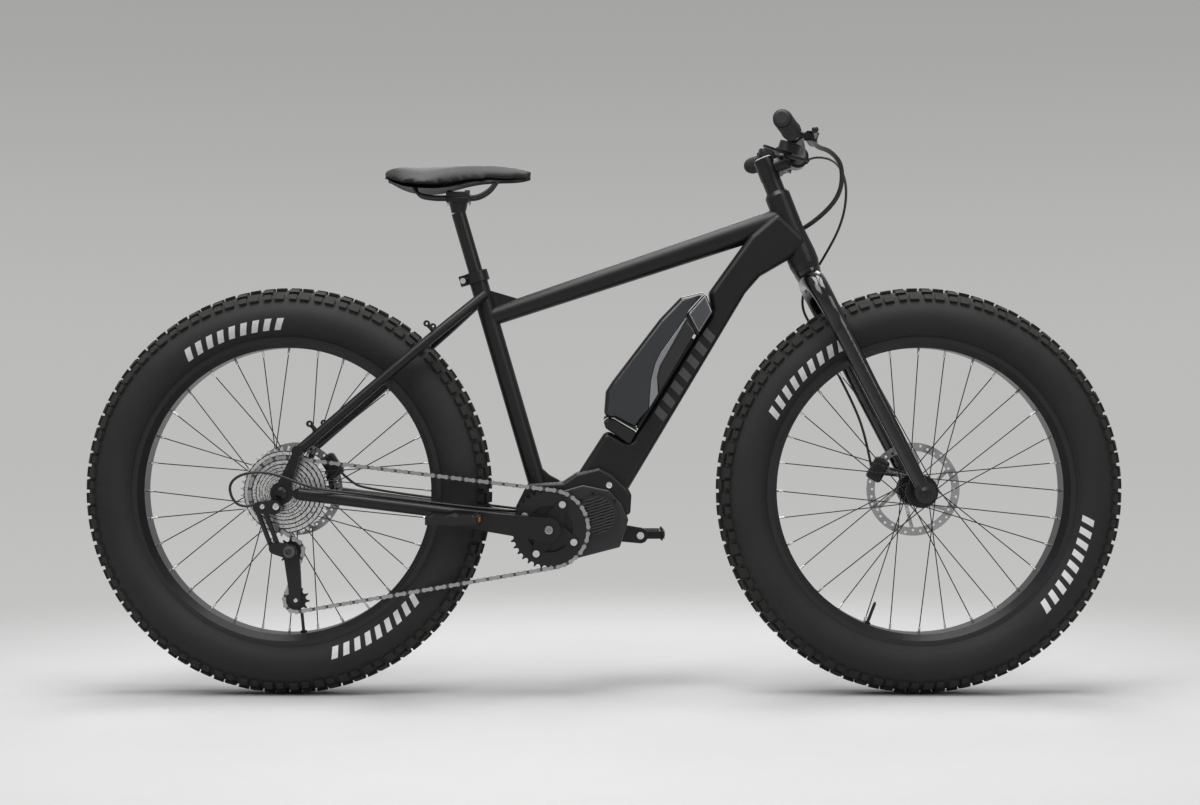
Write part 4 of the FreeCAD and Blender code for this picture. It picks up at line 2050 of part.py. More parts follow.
PAD, SHELL = make_saddle()
make_rails(PAD, SHELL)
make_seatpost()


# Cables and hoses: straight runs with tangent arcs, each held along the frame or the fork
# Points in the steering frame as shares of the fork's length: up, ahead, left
BUNDLE_SHARES = ((1.4435, 0.1611, -0.3663), (1.4300, 0.1828, -0.2516), (1.4025, 0.2499, -0.1237),
                 (1.3338, 0.2847, -0.0469), (1.2262, 0.2377, 0.0043), (1.1689, 0.1098, 0.0640),
                 (1.1556, -0.0192, 0.0938), (1.1426, -0.1435, 0.0640))
FRONT_HOSE_SHARES = ((1.4435, 0.1611, 0.3663), (1.4326, 0.1793, 0.2687), (1.4222, 0.2347, 0.1493),
                     (1.3647, 0.2877, 0.0597), (1.2601, 0.2855, 0.0299), (1.1307, 0.2185, 0.0469),
                     (1.0222, 0.0999, 0.1100), (0.8999, -0.0649, 0.1900), (0.7201, -0.0331, 0.1951),
                     (0.4200, -0.0001, 0.1881), (0.2700, -0.0051, 0.1699), (0.1391, -0.0335, 0.1503))


# Points beside the stays, read like the stays' own centre lines
STAY_CABLE_SHARES = ((0.8800, 0.42, 0.0475), (0.7766, 0.6701, 0.0425), (0.6558, 0.7716, 0.0395),
                     (0.2600, 0.965, 0.0360))
REAR_HOSE_SHARES = ((0.2000, 0.95, 0.0560), (0.1500, 0.93, 0.0950))
GEAR_CABLE_SHARES = ((0.1101, 1.2000, 0.0329), (-0.0355, 1.2995, 0.0738), (-0.1385, 1.2995, 0.0595),
                     (-0.1924, 1.2589, 0.0116), (-0.1717, 1.2284, -0.0502), (-0.1243, 1.2081, -0.0718),
                     (-0.0800, 1.2000, -0.0519))


def steer_points(shares):
    """Points in the steering frame given as shares of the fork's length."""
    length = size("fork_length")
    return [steer(up * length, ahead * length, left * length) for up, ahead, left in shares]


def make_cables():
    """The sleeved bundle into the down tube, the front brake hose, the rear hose and the gear cable."""
    levers = doc.getObject("brake_lever_mounts").Shape
    ends = [doc.getObject("down_tube").Shape, levers]
    bundle = cord("control_cables", steer_points(BUNDLE_SHARES), size("bundle_diameter") / 2).cut(ends)
    feature("control_cables", max(bundle.Solids, key=lambda solid: solid.Volume))
    blockers = [doc.getObject("front_caliper").Shape, doc.getObject("fork").Shape, levers]
    hose = cord("front_brake_hose", steer_points(FRONT_HOSE_SHARES), size("hose_diameter") / 2).cut(blockers)
    feature("front_brake_hose", max(hose.Solids, key=lambda solid: solid.Volume))
    brake = [Vector(p.x, -p.y, p.z) for p in stay_points(BRACKET, STAY_CABLE_SHARES + REAR_HOSE_SHARES)]
    gear = stay_points(BRACKET, STAY_CABLE_SHARES + GEAR_CABLE_SHARES)
    names = ("rear_caliper", "derailleur_body", "seatstays", "chainstays", "motor_cradle", "drive_unit")
    blockers = [doc.getObject(name).Shape for name in names]
    runs = [cord(label, points, size("hose_diameter") / 2).cut(blockers)
            for label, points in (("rear_brake_hose", brake), ("gear_cable", gear))]
    feature("rear_cables", Part.makeCompound([max(run.Solids, key=lambda solid: solid.Volume) for run in runs]))


make_cables()

# Last look at every piece, then one file for each
doc.recompute()
for obj in doc.Objects:
    if "Invalid" in obj.State or "Error" in obj.State:
        raise RuntimeError(f"{obj.Label} did not build: {obj.State}")
for obj in NODES:
    if obj.Shape.isNull() or not obj.Shape.isValid() or obj.Shape.Volume <= 0:
        raise RuntimeError(f"{obj.Label} has no sound shape")
os.makedirs("parts", exist_ok=True)
for obj in NODES:
    obj.Shape.exportStep(os.path.join("parts", obj.Label + ".step"))
print(f"{len(NODES)} sub-parts written")
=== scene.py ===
"""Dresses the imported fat-tyre bicycle: finishes, trim, saddle, cables and a plain studio."""

import logging
import math
from dataclasses import dataclass, field
from enum import Enum
from typing import Iterable, Sequence

import bmesh
import bpy
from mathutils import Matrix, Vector


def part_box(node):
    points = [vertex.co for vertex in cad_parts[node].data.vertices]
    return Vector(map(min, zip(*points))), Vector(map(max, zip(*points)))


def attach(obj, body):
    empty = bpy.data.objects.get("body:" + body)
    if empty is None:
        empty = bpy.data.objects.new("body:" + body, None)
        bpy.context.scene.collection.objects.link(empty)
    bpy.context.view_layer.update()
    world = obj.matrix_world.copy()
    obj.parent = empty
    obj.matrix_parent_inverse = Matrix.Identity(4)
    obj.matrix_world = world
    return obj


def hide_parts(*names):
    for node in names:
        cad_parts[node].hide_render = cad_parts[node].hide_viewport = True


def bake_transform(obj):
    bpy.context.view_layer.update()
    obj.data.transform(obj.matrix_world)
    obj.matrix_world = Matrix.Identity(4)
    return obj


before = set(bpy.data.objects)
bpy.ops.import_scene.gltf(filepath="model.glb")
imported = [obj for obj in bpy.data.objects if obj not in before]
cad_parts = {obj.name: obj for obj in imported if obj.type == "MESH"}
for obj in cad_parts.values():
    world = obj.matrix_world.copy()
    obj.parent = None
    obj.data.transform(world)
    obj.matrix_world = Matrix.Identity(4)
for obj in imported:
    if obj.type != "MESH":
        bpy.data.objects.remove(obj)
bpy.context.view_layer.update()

LOG = logging.getLogger("bicycle")
Point = tuple[float, float, float]
Flat = tuple[float, float]
Socket = bpy.types.NodeSocket

REAR_AXLE = Vector((-0.5975, 0.0, 0.385))
FRONT_AXLE = Vector((0.5975, 0.0, 0.385))
BRACKET = Vector((-0.102284, 0.0, 0.316))
STEER_UP = Vector((-0.366501, 0.0, 0.930418))
STEER_AHEAD = Vector((0.930418, 0.0, 0.366501))
CHAIN_PLANE = -0.068
LINK_PITCH = 0.0127
FULL_TURN = 2 * math.pi
RIGHTWARDS = (0, -1, 0)
SQUARE = ((-1, -1), (1, -1), (1, 1), (-1, 1))
WELD = 1e-6
SOFT_EDGE = 0.0002
COG_TEETH = (11, 13, 15, 18, 21, 24, 28, 32, 36, 40)


def feed(tree: bpy.types.NodeTree, target: bpy.types.Node, inputs: dict[int | str, object]) -> None:
    """Link or set the inputs of a node.

    Args:
        tree: The tree that holds the node.
        target: The node.
        inputs: A socket to link, or a plain value, for each input.
    """
    for key, value in inputs.items():
        if isinstance(value, Socket):
            tree.links.new(value, target.inputs[key])
        else:
            target.inputs[key].default_value = value


def add_node(tree: bpy.types.NodeTree, kind: str, inputs: dict[int | str, object] | None = None,
             **settings: object) -> bpy.types.Node:
    """Add a node to a tree.

    Args:
        tree: The tree.
        kind: The node's type.
        inputs: A socket to link, or a plain value, for each input.
        settings: The node's own settings.

    Returns:
        The new node.
    """
    made = tree.nodes.new(kind)
    for name, value in settings.items():
        setattr(made, name, value)
    feed(tree, made, inputs or {})
    return made


class Surface(Enum):
    """How the fine relief of a finish is laid on."""

    GRAIN = "grain"
    BRUSHED = "brushed"
    PEBBLE = "pebble"


@dataclass(frozen=True)
class Finish:
    """One procedural finish of the bicycle."""

    name: str
    colour: Point
    roughness: float
    metallic: float = 0.0
    coat: float = 0.0
    surface: Surface = Surface.GRAIN
    relief_scale: float = 900.0
    relief: float = 0.05
    relief_depth: float = 0.0004
    cloud_scale: float = 14.0
    cloud: float = 0.18
    sheen: float = 0.0
    specular: float = 0.5

    def material(self) -> bpy.types.Material:
        """Build the finish once, or return it if it is already there.

        Returns:
            The node material of this finish.
        """
        found = bpy.data.materials.get(self.name)
        if found:
            return found
        made = bpy.data.materials.new(self.name)
        made.use_nodes = True
        tree = made.node_tree
        place = add_node(tree, "ShaderNodeTexCoord").outputs["Object"]
        cloud = add_node(tree, "ShaderNodeTexNoise", {
            "Scale": self.cloud_scale, "Detail": 5.0, "Vector": place}).outputs["Fac"]
        tint = add_node(tree, "ShaderNodeMix", {
            0: cloud, 6: (*[c * (1 - self.cloud) for c in self.colour], 1.0),
            7: (*[min(1.0, c * (1 + self.cloud)) for c in self.colour], 1.0)}, data_type="RGBA")
        shine = add_node(tree, "ShaderNodeMapRange", {
            "To Min": max(0.02, self.roughness * (1 - self.cloud)),
            "To Max": min(1.0, self.roughness * (1 + self.cloud)), "Value": cloud})
        feed(tree, tree.nodes["Principled BSDF"], {
            "Metallic": self.metallic, "Coat Weight": self.coat, "Coat Roughness": 0.08,
            "Sheen Weight": self.sheen, "Specular IOR Level": self.specular,
            "Base Color": tint.outputs[2], "Roughness": shine.outputs["Result"],
            "Normal": self.relief_node(tree, place).outputs["Normal"]})
        return made

    def relief_node(self, tree: bpy.types.NodeTree, place: Socket) -> bpy.types.Node:
        """Lay the fine relief of the surface.

        Args:
            tree: The material's nodes.
            place: Where a point of the surface lies.

        Returns:
            The bump node.
        """
        stretch = (1.0, 1.0, 12.0) if self.surface is Surface.BRUSHED else (1.0, 1.0, 1.0)
        where = add_node(tree, "ShaderNodeMapping", {"Scale": stretch, "Vector": place}).outputs["Vector"]
        if self.surface is Surface.PEBBLE:
            height = add_node(tree, "ShaderNodeTexVoronoi", {
                "Scale": self.relief_scale, "Vector": where}).outputs["Distance"]
        else:
            height = add_node(tree, "ShaderNodeTexNoise", {
                "Scale": self.relief_scale, "Detail": 3.0, "Vector": where}).outputs["Fac"]
        return add_node(tree, "ShaderNodeBump", {
            "Strength": self.relief, "Distance": self.relief_depth, "Height": height})


class Finishes:
    """The finishes that the bicycle wears."""

    FRAME = Finish("matt black paint", (0.0085, 0.0085, 0.0095), 0.38, relief=0.10, relief_scale=1600.0,
                   specular=0.32)
    FORK = Finish("gloss black lacquer", (0.004, 0.004, 0.005), 0.14, coat=0.5, specular=0.4, relief=0.02,
                  cloud=0.1)
    ALLOY = Finish("black anodised alloy", (0.011, 0.011, 0.012), 0.34, metallic=0.35, relief=0.06)
    RIM = Finish("black rim", (0.014, 0.014, 0.016), 0.34, metallic=0.2, relief=0.05)
    TYRE = Finish("tyre rubber", (0.017, 0.017, 0.018), 0.7, relief=0.35, relief_scale=420.0, cloud=0.3,
                  relief_depth=0.0008, specular=0.35)
    TREAD = Finish("tyre tread", (0.024, 0.023, 0.022), 0.82)
    BARS = Finish("gloss grey print", (0.055, 0.056, 0.060), 0.28, coat=0.3, relief=0.03)
    WHITE = Finish("white print", (0.74, 0.74, 0.74), 0.6, relief=0.2, relief_scale=500.0, cloud=0.12)
    STEEL = Finish("bright steel", (0.72, 0.72, 0.72), 0.26, metallic=1.0, surface=Surface.BRUSHED,
                   relief=0.08)
    DISC = Finish("ground disc steel", (0.42, 0.42, 0.43), 0.26, metallic=1.0, relief=0.12)
    CHAIN = Finish("grey chain steel", (0.42, 0.42, 0.43), 0.3, metallic=1.0, relief=0.08)
    CHAIN_INNER = Finish("dark chain steel", (0.10, 0.10, 0.105), 0.4, metallic=0.9, relief=0.08)
    DARK_STEEL = Finish("blackened steel", (0.022, 0.022, 0.024), 0.36, metallic=0.5, relief=0.08)
    PLASTIC = Finish("black moulded plastic", (0.012, 0.012, 0.013), 0.48, surface=Surface.PEBBLE,
                     relief=0.12, relief_scale=1500.0, specular=0.35)
    MOTOR = Finish("motor casing", (0.013, 0.013, 0.015), 0.40, surface=Surface.PEBBLE, relief=0.16,
                   relief_scale=1200.0)
    BATTERY = Finish("battery edge black", (0.008, 0.008, 0.009), 0.22, coat=0.3, relief=0.03)
    SLATE = Finish("slate panel", (0.026, 0.030, 0.034), 0.4, surface=Surface.PEBBLE, relief=0.14,
                   relief_scale=1800.0)
    PIANO = Finish("gloss insert", (0.004, 0.004, 0.004), 0.1, coat=0.7, relief=0.01, cloud=0.05)
    FINS = Finish("motor fins", (0.042, 0.042, 0.046), 0.34, relief=0.08)
    # Near-black finish for painted shade in grooves and gaps.
    GROOVE_SHADE = Finish("motor groove", (0.005, 0.005, 0.0055), 0.55, relief=0.1)
    SILVER = Finish("silver trim", (0.34, 0.35, 0.37), 0.3, metallic=0.8, relief=0.05)
    GREY = Finish("grey cover", (0.085, 0.087, 0.095), 0.36, metallic=0.3, relief=0.1)
    RUBBER = Finish("soft rubber", (0.018, 0.018, 0.019), 0.68, surface=Surface.PEBBLE, relief=0.3,
                    relief_scale=900.0)
    HOSE = Finish("cable sleeve", (0.010, 0.010, 0.011), 0.42, relief=0.12, relief_scale=700.0)
    LEATHER = Finish("saddle cover", (0.010, 0.010, 0.011), 0.46, surface=Surface.PEBBLE, relief=0.3,
                     relief_scale=900.0, relief_depth=0.0004, sheen=0.03, specular=0.32)
    SCREEN = Finish("dark screen", (0.010, 0.012, 0.014), 0.07, coat=0.8, relief=0.01, cloud=0.08)
    AMBER = Finish("amber reflector", (0.62, 0.16, 0.02), 0.25, surface=Surface.PEBBLE, relief=0.5,
                   relief_scale=350.0, relief_depth=0.0008)


NODE_FINISHES: dict[Finish, tuple[str, ...]] = {
    Finishes.FRAME: ("head_tube", "top_tube", "down_tube", "seat_tube", "motor_cradle", "seatstays",
                     "chainstays"),
    Finishes.FORK: ("fork",),
    Finishes.ALLOY: ("stem", "headset_cups", "headset_spacers", "handlebar", "seat_clamp", "seatpost",
                     "front_hub", "rear_hub", "front_axle", "rear_axle", "crankset", "brake_lever_right",
                     "brake_lever_left", "brake_lever_mounts"),
    Finishes.RIM: ("front_rim", "rear_rim"),
    Finishes.STEEL: ("cassette", "pedal_axles"),
    Finishes.CHAIN: ("chain",),
    Finishes.DARK_STEEL: ("chainring", "derailleur_body", "derailleur_cage", "saddle_clamp", "front_caliper",
                          "rear_caliper", "saddle_rails"),
    Finishes.PLASTIC: ("drive_unit_cover", "battery_holder", "pedal_right", "pedal_left", "guide_pulley",
                       "tension_pulley", "shifter_body", "shift_thumb_lever", "shift_release_lever",
                       "assist_switch", "assist_rocker", "display", "saddle_shell"),
    Finishes.MOTOR: ("drive_unit",),
    Finishes.BATTERY: ("battery_case",),
    Finishes.RUBBER: ("grips",),
    Finishes.HOSE: ("control_cables", "rear_cables", "front_brake_hose"),
    Finishes.LEATHER: ("saddle_pad",),
}


def dress(piece: bpy.types.Object, finish: bpy.types.Material) -> None:
    """Give an object one material."""
    piece.data.materials.clear()
    piece.data.materials.append(finish)


def shown(name: str, data: bpy.types.ID) -> bpy.types.Object:
    """Put new data into the scene.

    Args:
        name: The object's name.
        data: A mesh, curve, light or camera.

    Returns:
        The object that holds it.
    """
    piece = bpy.data.objects.new(name, data)
    bpy.context.scene.collection.objects.link(piece)
    return piece


def settle(piece: bpy.types.Object, body: str) -> None:
    """Let a finished piece ride on its body and log it.

    Args:
        piece: The piece.
        body: The body that carries it.
    """
    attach(piece, body)
    LOG.info("built %s", piece.name)


def prism_faces(count: int, start: int = 0) -> list[tuple[int, ...]]:
    """The faces of a prism whose two ends are numbered one after the other.

    Args:
        count: How many corners an end has.
        start: The first corner's number.

    Returns:
        Both ends and the sides.
    """
    ends = [tuple(range(first, first + count)) for first in (start, start + count)]
    sides = [(start + i, start + (i + 1) % count, start + count + (i + 1) % count, start + count + i)
             for i in range(count)]
    return ends + sides


def ring_faces(rows: int, sides: int, closed: bool = False) -> list[tuple[int, ...]]:
    """The faces between rings of points that follow one another.

    Args:
        rows: How many rings there are.
        sides: How many points a ring has.
        closed: Whether the last ring meets the first.

    Returns:
        One face for each pair of neighbours on two rings.
    """
    faces = []
    for row in range(rows if closed else rows - 1):
        low, high = row * sides, (row + 1) % rows * sides
        faces += [(low + i, low + (i + 1) % sides, high + (i + 1) % sides, high + i) for i in range(sides)]
    return faces


def welded(mesh: bpy.types.Mesh) -> bmesh.types.BMesh:
    """Open a mesh with its double points joined.

    Args:
        mesh: The mesh, which stays as it is.

    Returns:
        The open mesh, to be freed by the caller.
    """
    solid = bmesh.new()
    solid.from_mesh(mesh)
    bmesh.ops.remove_doubles(solid, verts=solid.verts, dist=WELD)
    return solid


def mesh_piece(name: str, verts: Iterable[Sequence[float]],
               faces: Iterable[Sequence[int]]) -> bpy.types.Object:
    """Make an object from points and faces, with its normals turned outwards.

    Args:
        name: The piece's name.
        verts: Points in metres, in the row frame.
        faces: Faces as lists of point numbers.

    Returns:
        The new object, at the origin.
    """
    mesh = bpy.data.meshes.new(name)
    mesh.from_pydata([tuple(v) for v in verts], [], [tuple(f) for f in faces])
    solid = welded(mesh)
    bmesh.ops.recalc_face_normals(solid, faces=solid.faces)
    solid.to_mesh(mesh)
    solid.free()
    return shown(name, mesh)


def evaluated(piece: bpy.types.Object) -> None:
    """Turn an object's modifiers into its plain mesh.

    Args:
        piece: The object whose modifiers are applied and removed.
    """
    graph = bpy.context.evaluated_depsgraph_get()
    mesh = bpy.data.meshes.new_from_object(piece.evaluated_get(graph))
    piece.modifiers.clear()
    piece.data = mesh


def bevelled(piece: bpy.types.Object, width: float) -> None:
    """Round a piece's edges.

    Args:
        piece: The piece.
        width: The width of the rounding.
    """
    edge = piece.modifiers.new("edge", "BEVEL")
    edge.width = width
    edge.segments = 2
    evaluated(piece)


def grown(piece: bpy.types.Object, group: bpy.types.GeometryNodeTree, values: dict[str, object]) -> None:
    """Run a node tree on a piece and keep the result as its plain mesh.

    Args:
        piece: The piece.
        group: The tree.
        values: The tree's inputs by name.
    """
    modifier = piece.modifiers.new(group.name, "NODES")
    modifier.node_group = group
    for item in group.interface.items_tree:
        if item.in_out == "INPUT" and item.name in values:
            modifier[item.identifier] = values[item.name]
    piece.update_tag()
    evaluated(piece)


class Shading:
    """Node materials whose pattern follows a wheel's radius or marked spots."""

    def __init__(self, name: str, finish: Finish) -> None:
        """Start a material.

        Args:
            name: The material's name.
            finish: The finish that it starts from.
        """
        self.made = bpy.data.materials.new(name)
        self.made.use_nodes = True
        self.finish = finish
        self.tree = self.made.node_tree
        self.shader = self.tree.nodes["Principled BSDF"]
        self.place = add_node(self.tree, "ShaderNodeTexCoord").outputs["Object"]
        self.bump = finish.relief_node(self.tree, self.place)
        feed(self.tree, self.shader, {"Specular IOR Level": finish.specular, "Coat Weight": finish.coat,
                                      "Normal": self.bump.outputs["Normal"]})

    def flattened(self, centre: Flat) -> Socket:
        """A point's place in the side view, from an axis along Y.

        Args:
            centre: The axis in the side view.

        Returns:
            The place, with nothing across.
        """
        return add_node(self.tree, "ShaderNodeMapping", {
            "Location": (-centre[0], 0.0, -centre[1]), "Scale": (1.0, 0.0, 1.0),
            "Vector": self.place}).outputs["Vector"]

    def radius(self, centre: Flat) -> Socket:
        """How far a point lies from an axis along Y."""
        return add_node(self.tree, "ShaderNodeVectorMath", {0: self.flattened(centre)},
                        operation="LENGTH").outputs["Value"]

    def step(self, value: Socket, low: float, high: float) -> Socket:
        """A value's rise from 0 at low to 1 at high."""
        return add_node(self.tree, "ShaderNodeMapRange", {
            "From Min": low, "From Max": high, "Value": value}).outputs["Result"]

    def math(self, operation: str, *values: Socket | float) -> Socket:
        """The outcome of one operation on sockets or plain numbers."""
        return add_node(self.tree, "ShaderNodeMath", dict(enumerate(values)), operation=operation).outputs[0]

    def noise(self, scale: float) -> Socket:
        """A cloud over the surface, with values about one half."""
        return add_node(self.tree, "ShaderNodeTexNoise", {
            "Scale": scale, "Detail": 4.0, "Vector": self.place}).outputs["Fac"]

    def values(self, share: Socket, one: float, two: float) -> Socket:
        """A value that runs from one to two as the share rises."""
        return add_node(self.tree, "ShaderNodeMapRange", {
            "To Min": one, "To Max": two, "Value": share}).outputs["Result"]

    def two_tone(self, mask: Socket, other: Finish) -> bpy.types.Material:
        """The finish, with another one where the mask is set.

        Args:
            mask: Where the other finish lies.
            other: The other finish.

        Returns:
            The material.
        """
        one = self.finish
        tint = add_node(self.tree, "ShaderNodeMix", {
            0: mask, 6: (*one.colour, 1.0), 7: (*other.colour, 1.0)}, data_type="RGBA")
        shade = self.values(self.noise(one.cloud_scale), 1 - one.cloud, 1 + one.cloud)
        cloud = add_node(self.tree, "ShaderNodeMix", {0: 1.0, 6: tint.outputs[2], 7: shade},
                         data_type="RGBA", blend_type="MULTIPLY")
        feed(self.tree, self.shader, {
            "Base Color": cloud.outputs[2],
            "Roughness": self.values(mask, one.roughness, other.roughness),
            "Metallic": self.values(mask, one.metallic, other.metallic)})
        return self.made

    def spots(self, places: Iterable[tuple[float, float, float]]) -> bpy.types.NodeSocket:
        """A mask of round spots in the side view.

        Args:
            places: Each spot's middle and radius.

        Returns:
            1 in a spot and 0 outside.
        """
        mask = None
        for x, z, reach in places:
            spot = self.step(self.radius((x, z)), reach, reach - SOFT_EDGE)
            mask = spot if mask is None else self.math("MAXIMUM", mask, spot)
        return mask


def cassette_material(centre: Flat) -> bpy.types.Material:
    """Bright cogs with painted shade: dark bands in the gaps between their steps and dark spots for the holes
    in their drilled faces.

    Args:
        centre: The axis in the side view.

    Returns:
        The material.
    """
    shading = Shading("cassette cogs", Finishes.STEEL)
    reach = shading.radius(centre)
    drilled_to, holes_per_metre, tooth, shade_share, soft = 0.0670, 230.0, 0.0025, 0.30, 0.0003
    sizes = [teeth * LINK_PITCH / FULL_TURN for teeth in COG_TEETH]
    # The holes of the drilled faces are dark spots of painted shade.
    holes = add_node(shading.tree, "ShaderNodeTexVoronoi", {
        "Scale": holes_per_metre, "Vector": shading.flattened(centre)})
    drilled = shading.step(holes.outputs["Distance"], 0.30, 0.22)
    mask = shading.math("MINIMUM", drilled, shading.step(reach, drilled_to + SOFT_EDGE, drilled_to))
    # Each dark band, just outside a smaller cog's teeth on the next cog's face, is painted shade in the gap
    # between the two cogs.
    for inner, outer in zip(sizes, sizes[1:]):
        low = inner + tooth
        high = low + shade_share * (outer - inner)
        gap_shade = shading.math("MINIMUM", shading.step(reach, low, low + soft),
                            shading.step(reach, high, high - soft))
        mask = shading.math("MAXIMUM", mask, gap_shade)
    return shading.two_tone(mask, Finishes.DARK_STEEL)


def tyre_material(name: str, axle: Vector) -> bpy.types.Material:
    """Rubber with a smooth, finely ringed sidewall and a dusty tread.

    Args:
        name: The material's name.
        axle: The wheel's centre.

    Returns:
        The material.
    """
    shading = Shading(name, Finishes.TYRE)
    tread, bead, ring_pitch, grain = (0.338, 0.358), (0.306, 0.301), 0.0042, 380.0
    radius = shading.radius((axle.x, axle.z))
    made = shading.two_tone(shading.step(radius, *tread), Finishes.TREAD)
    rings = shading.math("SINE", shading.math("MULTIPLY", radius, FULL_TURN / ring_pitch))
    height = shading.math("MULTIPLY_ADD", rings, shading.step(radius, *bead), shading.noise(grain))
    feed(shading.tree, shading.bump, {"Height": height})
    return made


def brushed_material(name: str, finish: Finish, centre: Flat, other: Finish,
                     edge: float) -> bpy.types.Material:
    """Metal turned on a lathe, with another finish inside a radius.

    Args:
        name: The material's name.
        finish: The outer finish.
        centre: The axis in the side view.
        other: The finish near the axis.
        edge: The radius where they meet.

    Returns:
        The material.
    """
    shading = Shading(name, finish)
    radius = shading.radius(centre)
    made = shading.two_tone(shading.step(radius, edge + 0.0003, edge - 0.0003), other)
    fine = add_node(shading.tree, "ShaderNodeTexNoise", {"Scale": 2600.0, "W": radius}, noise_dimensions="1D")
    feed(shading.tree, shading.bump, {"Height": fine.outputs["Fac"]})
    return made


class Tree:
    """What the node trees that repeat a part have in common."""

    NAME = ""
    INPUTS: tuple[tuple[str, str], ...] = ()

    @classmethod
    def tree(cls) -> bpy.types.GeometryNodeTree:
        """Build the tree once.

        Returns:
            The node group with its named inputs.
        """
        found = bpy.data.node_groups.get(cls.NAME)
        if found:
            return found
        group = bpy.data.node_groups.new(cls.NAME, "GeometryNodeTree")
        for name, kind in (*cls.INPUTS, ("Finish", "Material")):
            group.interface.new_socket(name, in_out="INPUT", socket_type=f"NodeSocket{kind}")
        group.interface.new_socket("Geometry", in_out="OUTPUT", socket_type="NodeSocketGeometry")
        source = add_node(group, "NodeGroupInput").outputs
        spread = add_node(group, "GeometryNodeInstanceOnPoints", cls.copies(group, source))
        real = add_node(group, "GeometryNodeRealizeInstances", {"Geometry": spread.outputs["Instances"]})
        paint = add_node(group, "GeometryNodeSetMaterial", {
            "Geometry": real.outputs["Geometry"], "Material": source["Finish"]})
        add_node(group, "NodeGroupOutput", {0: paint.outputs["Geometry"]})
        return group

    @classmethod
    def copies(cls, tree: bpy.types.GeometryNodeTree, source: bpy.types.NodeOutputs) -> dict[str, Socket]:
        """Work out where the copies go."""
        raise NotImplementedError


class RowTree(Tree):
    """A node tree that repeats one part along a line, round an axle, or both."""

    NAME = "repeat a part"
    INPUTS = (("Part", "Geometry"), ("Count", "Int"), ("Origin", "Vector"), ("Step", "Vector"),
              ("Start", "Float"), ("Turn", "Float"))

    @classmethod
    def copies(cls, tree: bpy.types.GeometryNodeTree, source: bpy.types.NodeOutputs) -> dict[str, Socket]:
        """Set the copies along the line and turn each a little further.

        Args:
            tree: The tree.
            source: The tree's inputs.

        Returns:
            What feeds the node that sets out the copies.
        """
        index = add_node(tree, "GeometryNodeInputIndex").outputs["Index"]
        place = add_node(tree, "ShaderNodeVectorMath", {0: index, 1: source["Step"], 2: source["Origin"]},
                         operation="MULTIPLY_ADD")
        points = add_node(tree, "GeometryNodePoints", {
            "Count": source["Count"], "Position": place.outputs["Vector"]})
        turn = add_node(tree, "ShaderNodeMath", {0: index, 1: source["Turn"], 2: source["Start"]},
                        operation="MULTIPLY_ADD")
        spin = add_node(tree, "ShaderNodeCombineXYZ", {"Y": turn.outputs[0]})
        return {"Points": points.outputs[0], "Instance": source["Part"], "Rotation": spin.outputs[0]}

    @classmethod
    def repeat(cls, part: bpy.types.Object, count: int, origin: Vector, finish: Finish,
               step: Vector = Vector(), start: float = 0.0, turn: float = 0.0) -> bpy.types.Object:
        """Repeat a part and make the row one plain mesh.

        Args:
            part: The part, modelled about the world origin.
            count: How many there are.
            origin: The first one's place.
            finish: The finish of all of them.
            step: The way from one to the next.
            start: The first one's turn in radians about Y.
            turn: The turn from one to the next.

        Returns:
            The same object, now holding the whole row.
        """
        grown(part, cls.tree(), {"Count": count, "Origin": tuple(origin), "Step": tuple(step), "Start": start,
                                 "Turn": turn, "Finish": finish.material()})
        return part


class StudTree(Tree):
    """A node tree that sets a fastener on each point of a cloud, along that point's own direction."""

    NAME = "fasteners"
    INPUTS = (("Points", "Geometry"), ("Head", "Object"))

    @classmethod
    def copies(cls, tree: bpy.types.GeometryNodeTree, source: bpy.types.NodeOutputs) -> dict[str, Socket]:
        """Set a head on each point, with its own direction and size.

        Args:
            tree: The tree.
            source: The tree's inputs.

        Returns:
            What feeds the node that sets out the copies.
        """
        head = add_node(tree, "GeometryNodeObjectInfo", {"Object": source["Head"]})
        aim, gauge = (add_node(tree, "GeometryNodeInputNamedAttribute", {"Name": name}, data_type=kind)
                      for name, kind in (("aim", "FLOAT_VECTOR"), ("gauge", "FLOAT")))
        align = add_node(tree, "FunctionNodeAlignRotationToVector", {"Vector": aim.outputs["Attribute"]},
                         axis="Z")
        return {"Points": source["Points"], "Instance": head.outputs["Geometry"],
                "Rotation": align.outputs["Rotation"], "Scale": gauge.outputs["Attribute"]}


@dataclass
class Studs:
    """Socket-head fasteners of one finish on one body."""

    name: str
    body: str
    slot: str
    finish: Finish
    places: tuple[tuple[Point, Point, float], ...]
    sides: int = 24

    def head(self) -> bpy.types.Object:
        """A domed socket head of unit radius that stands along Z.

        Returns:
            The head, modelled about the world origin.
        """
        profile = ((0.0, -0.6), (0.94, -0.6), (1.0, 0.1), (0.86, 0.42), (0.52, 0.52), (0.46, 0.1), (0.0, 0.1))
        angles = [FULL_TURN * i / self.sides for i in range(self.sides)]
        verts = [(r * math.cos(angle), r * math.sin(angle), z) for r, z in profile for angle in angles]
        return mesh_piece(f"{self.name}_head", verts, ring_faces(len(profile), self.sides))

    def build(self) -> None:
        """Set the fasteners on their places."""
        mesh = bpy.data.meshes.new(self.name)
        mesh.from_pydata([place for place, _, _ in self.places], [], [])
        mesh.attributes.new("aim", "FLOAT_VECTOR", "POINT")
        mesh.attributes.new("gauge", "FLOAT", "POINT")
        for index, (_, aim, gauge) in enumerate(self.places):
            mesh.attributes["aim"].data[index].vector = aim
            mesh.attributes["gauge"].data[index].value = gauge
        piece = shown(self.name, mesh)
        head = self.head()
        grown(piece, StudTree.tree(), {"Head": head, "Finish": self.finish.material()})
        bpy.data.objects.remove(head)
        settle(piece, self.body)


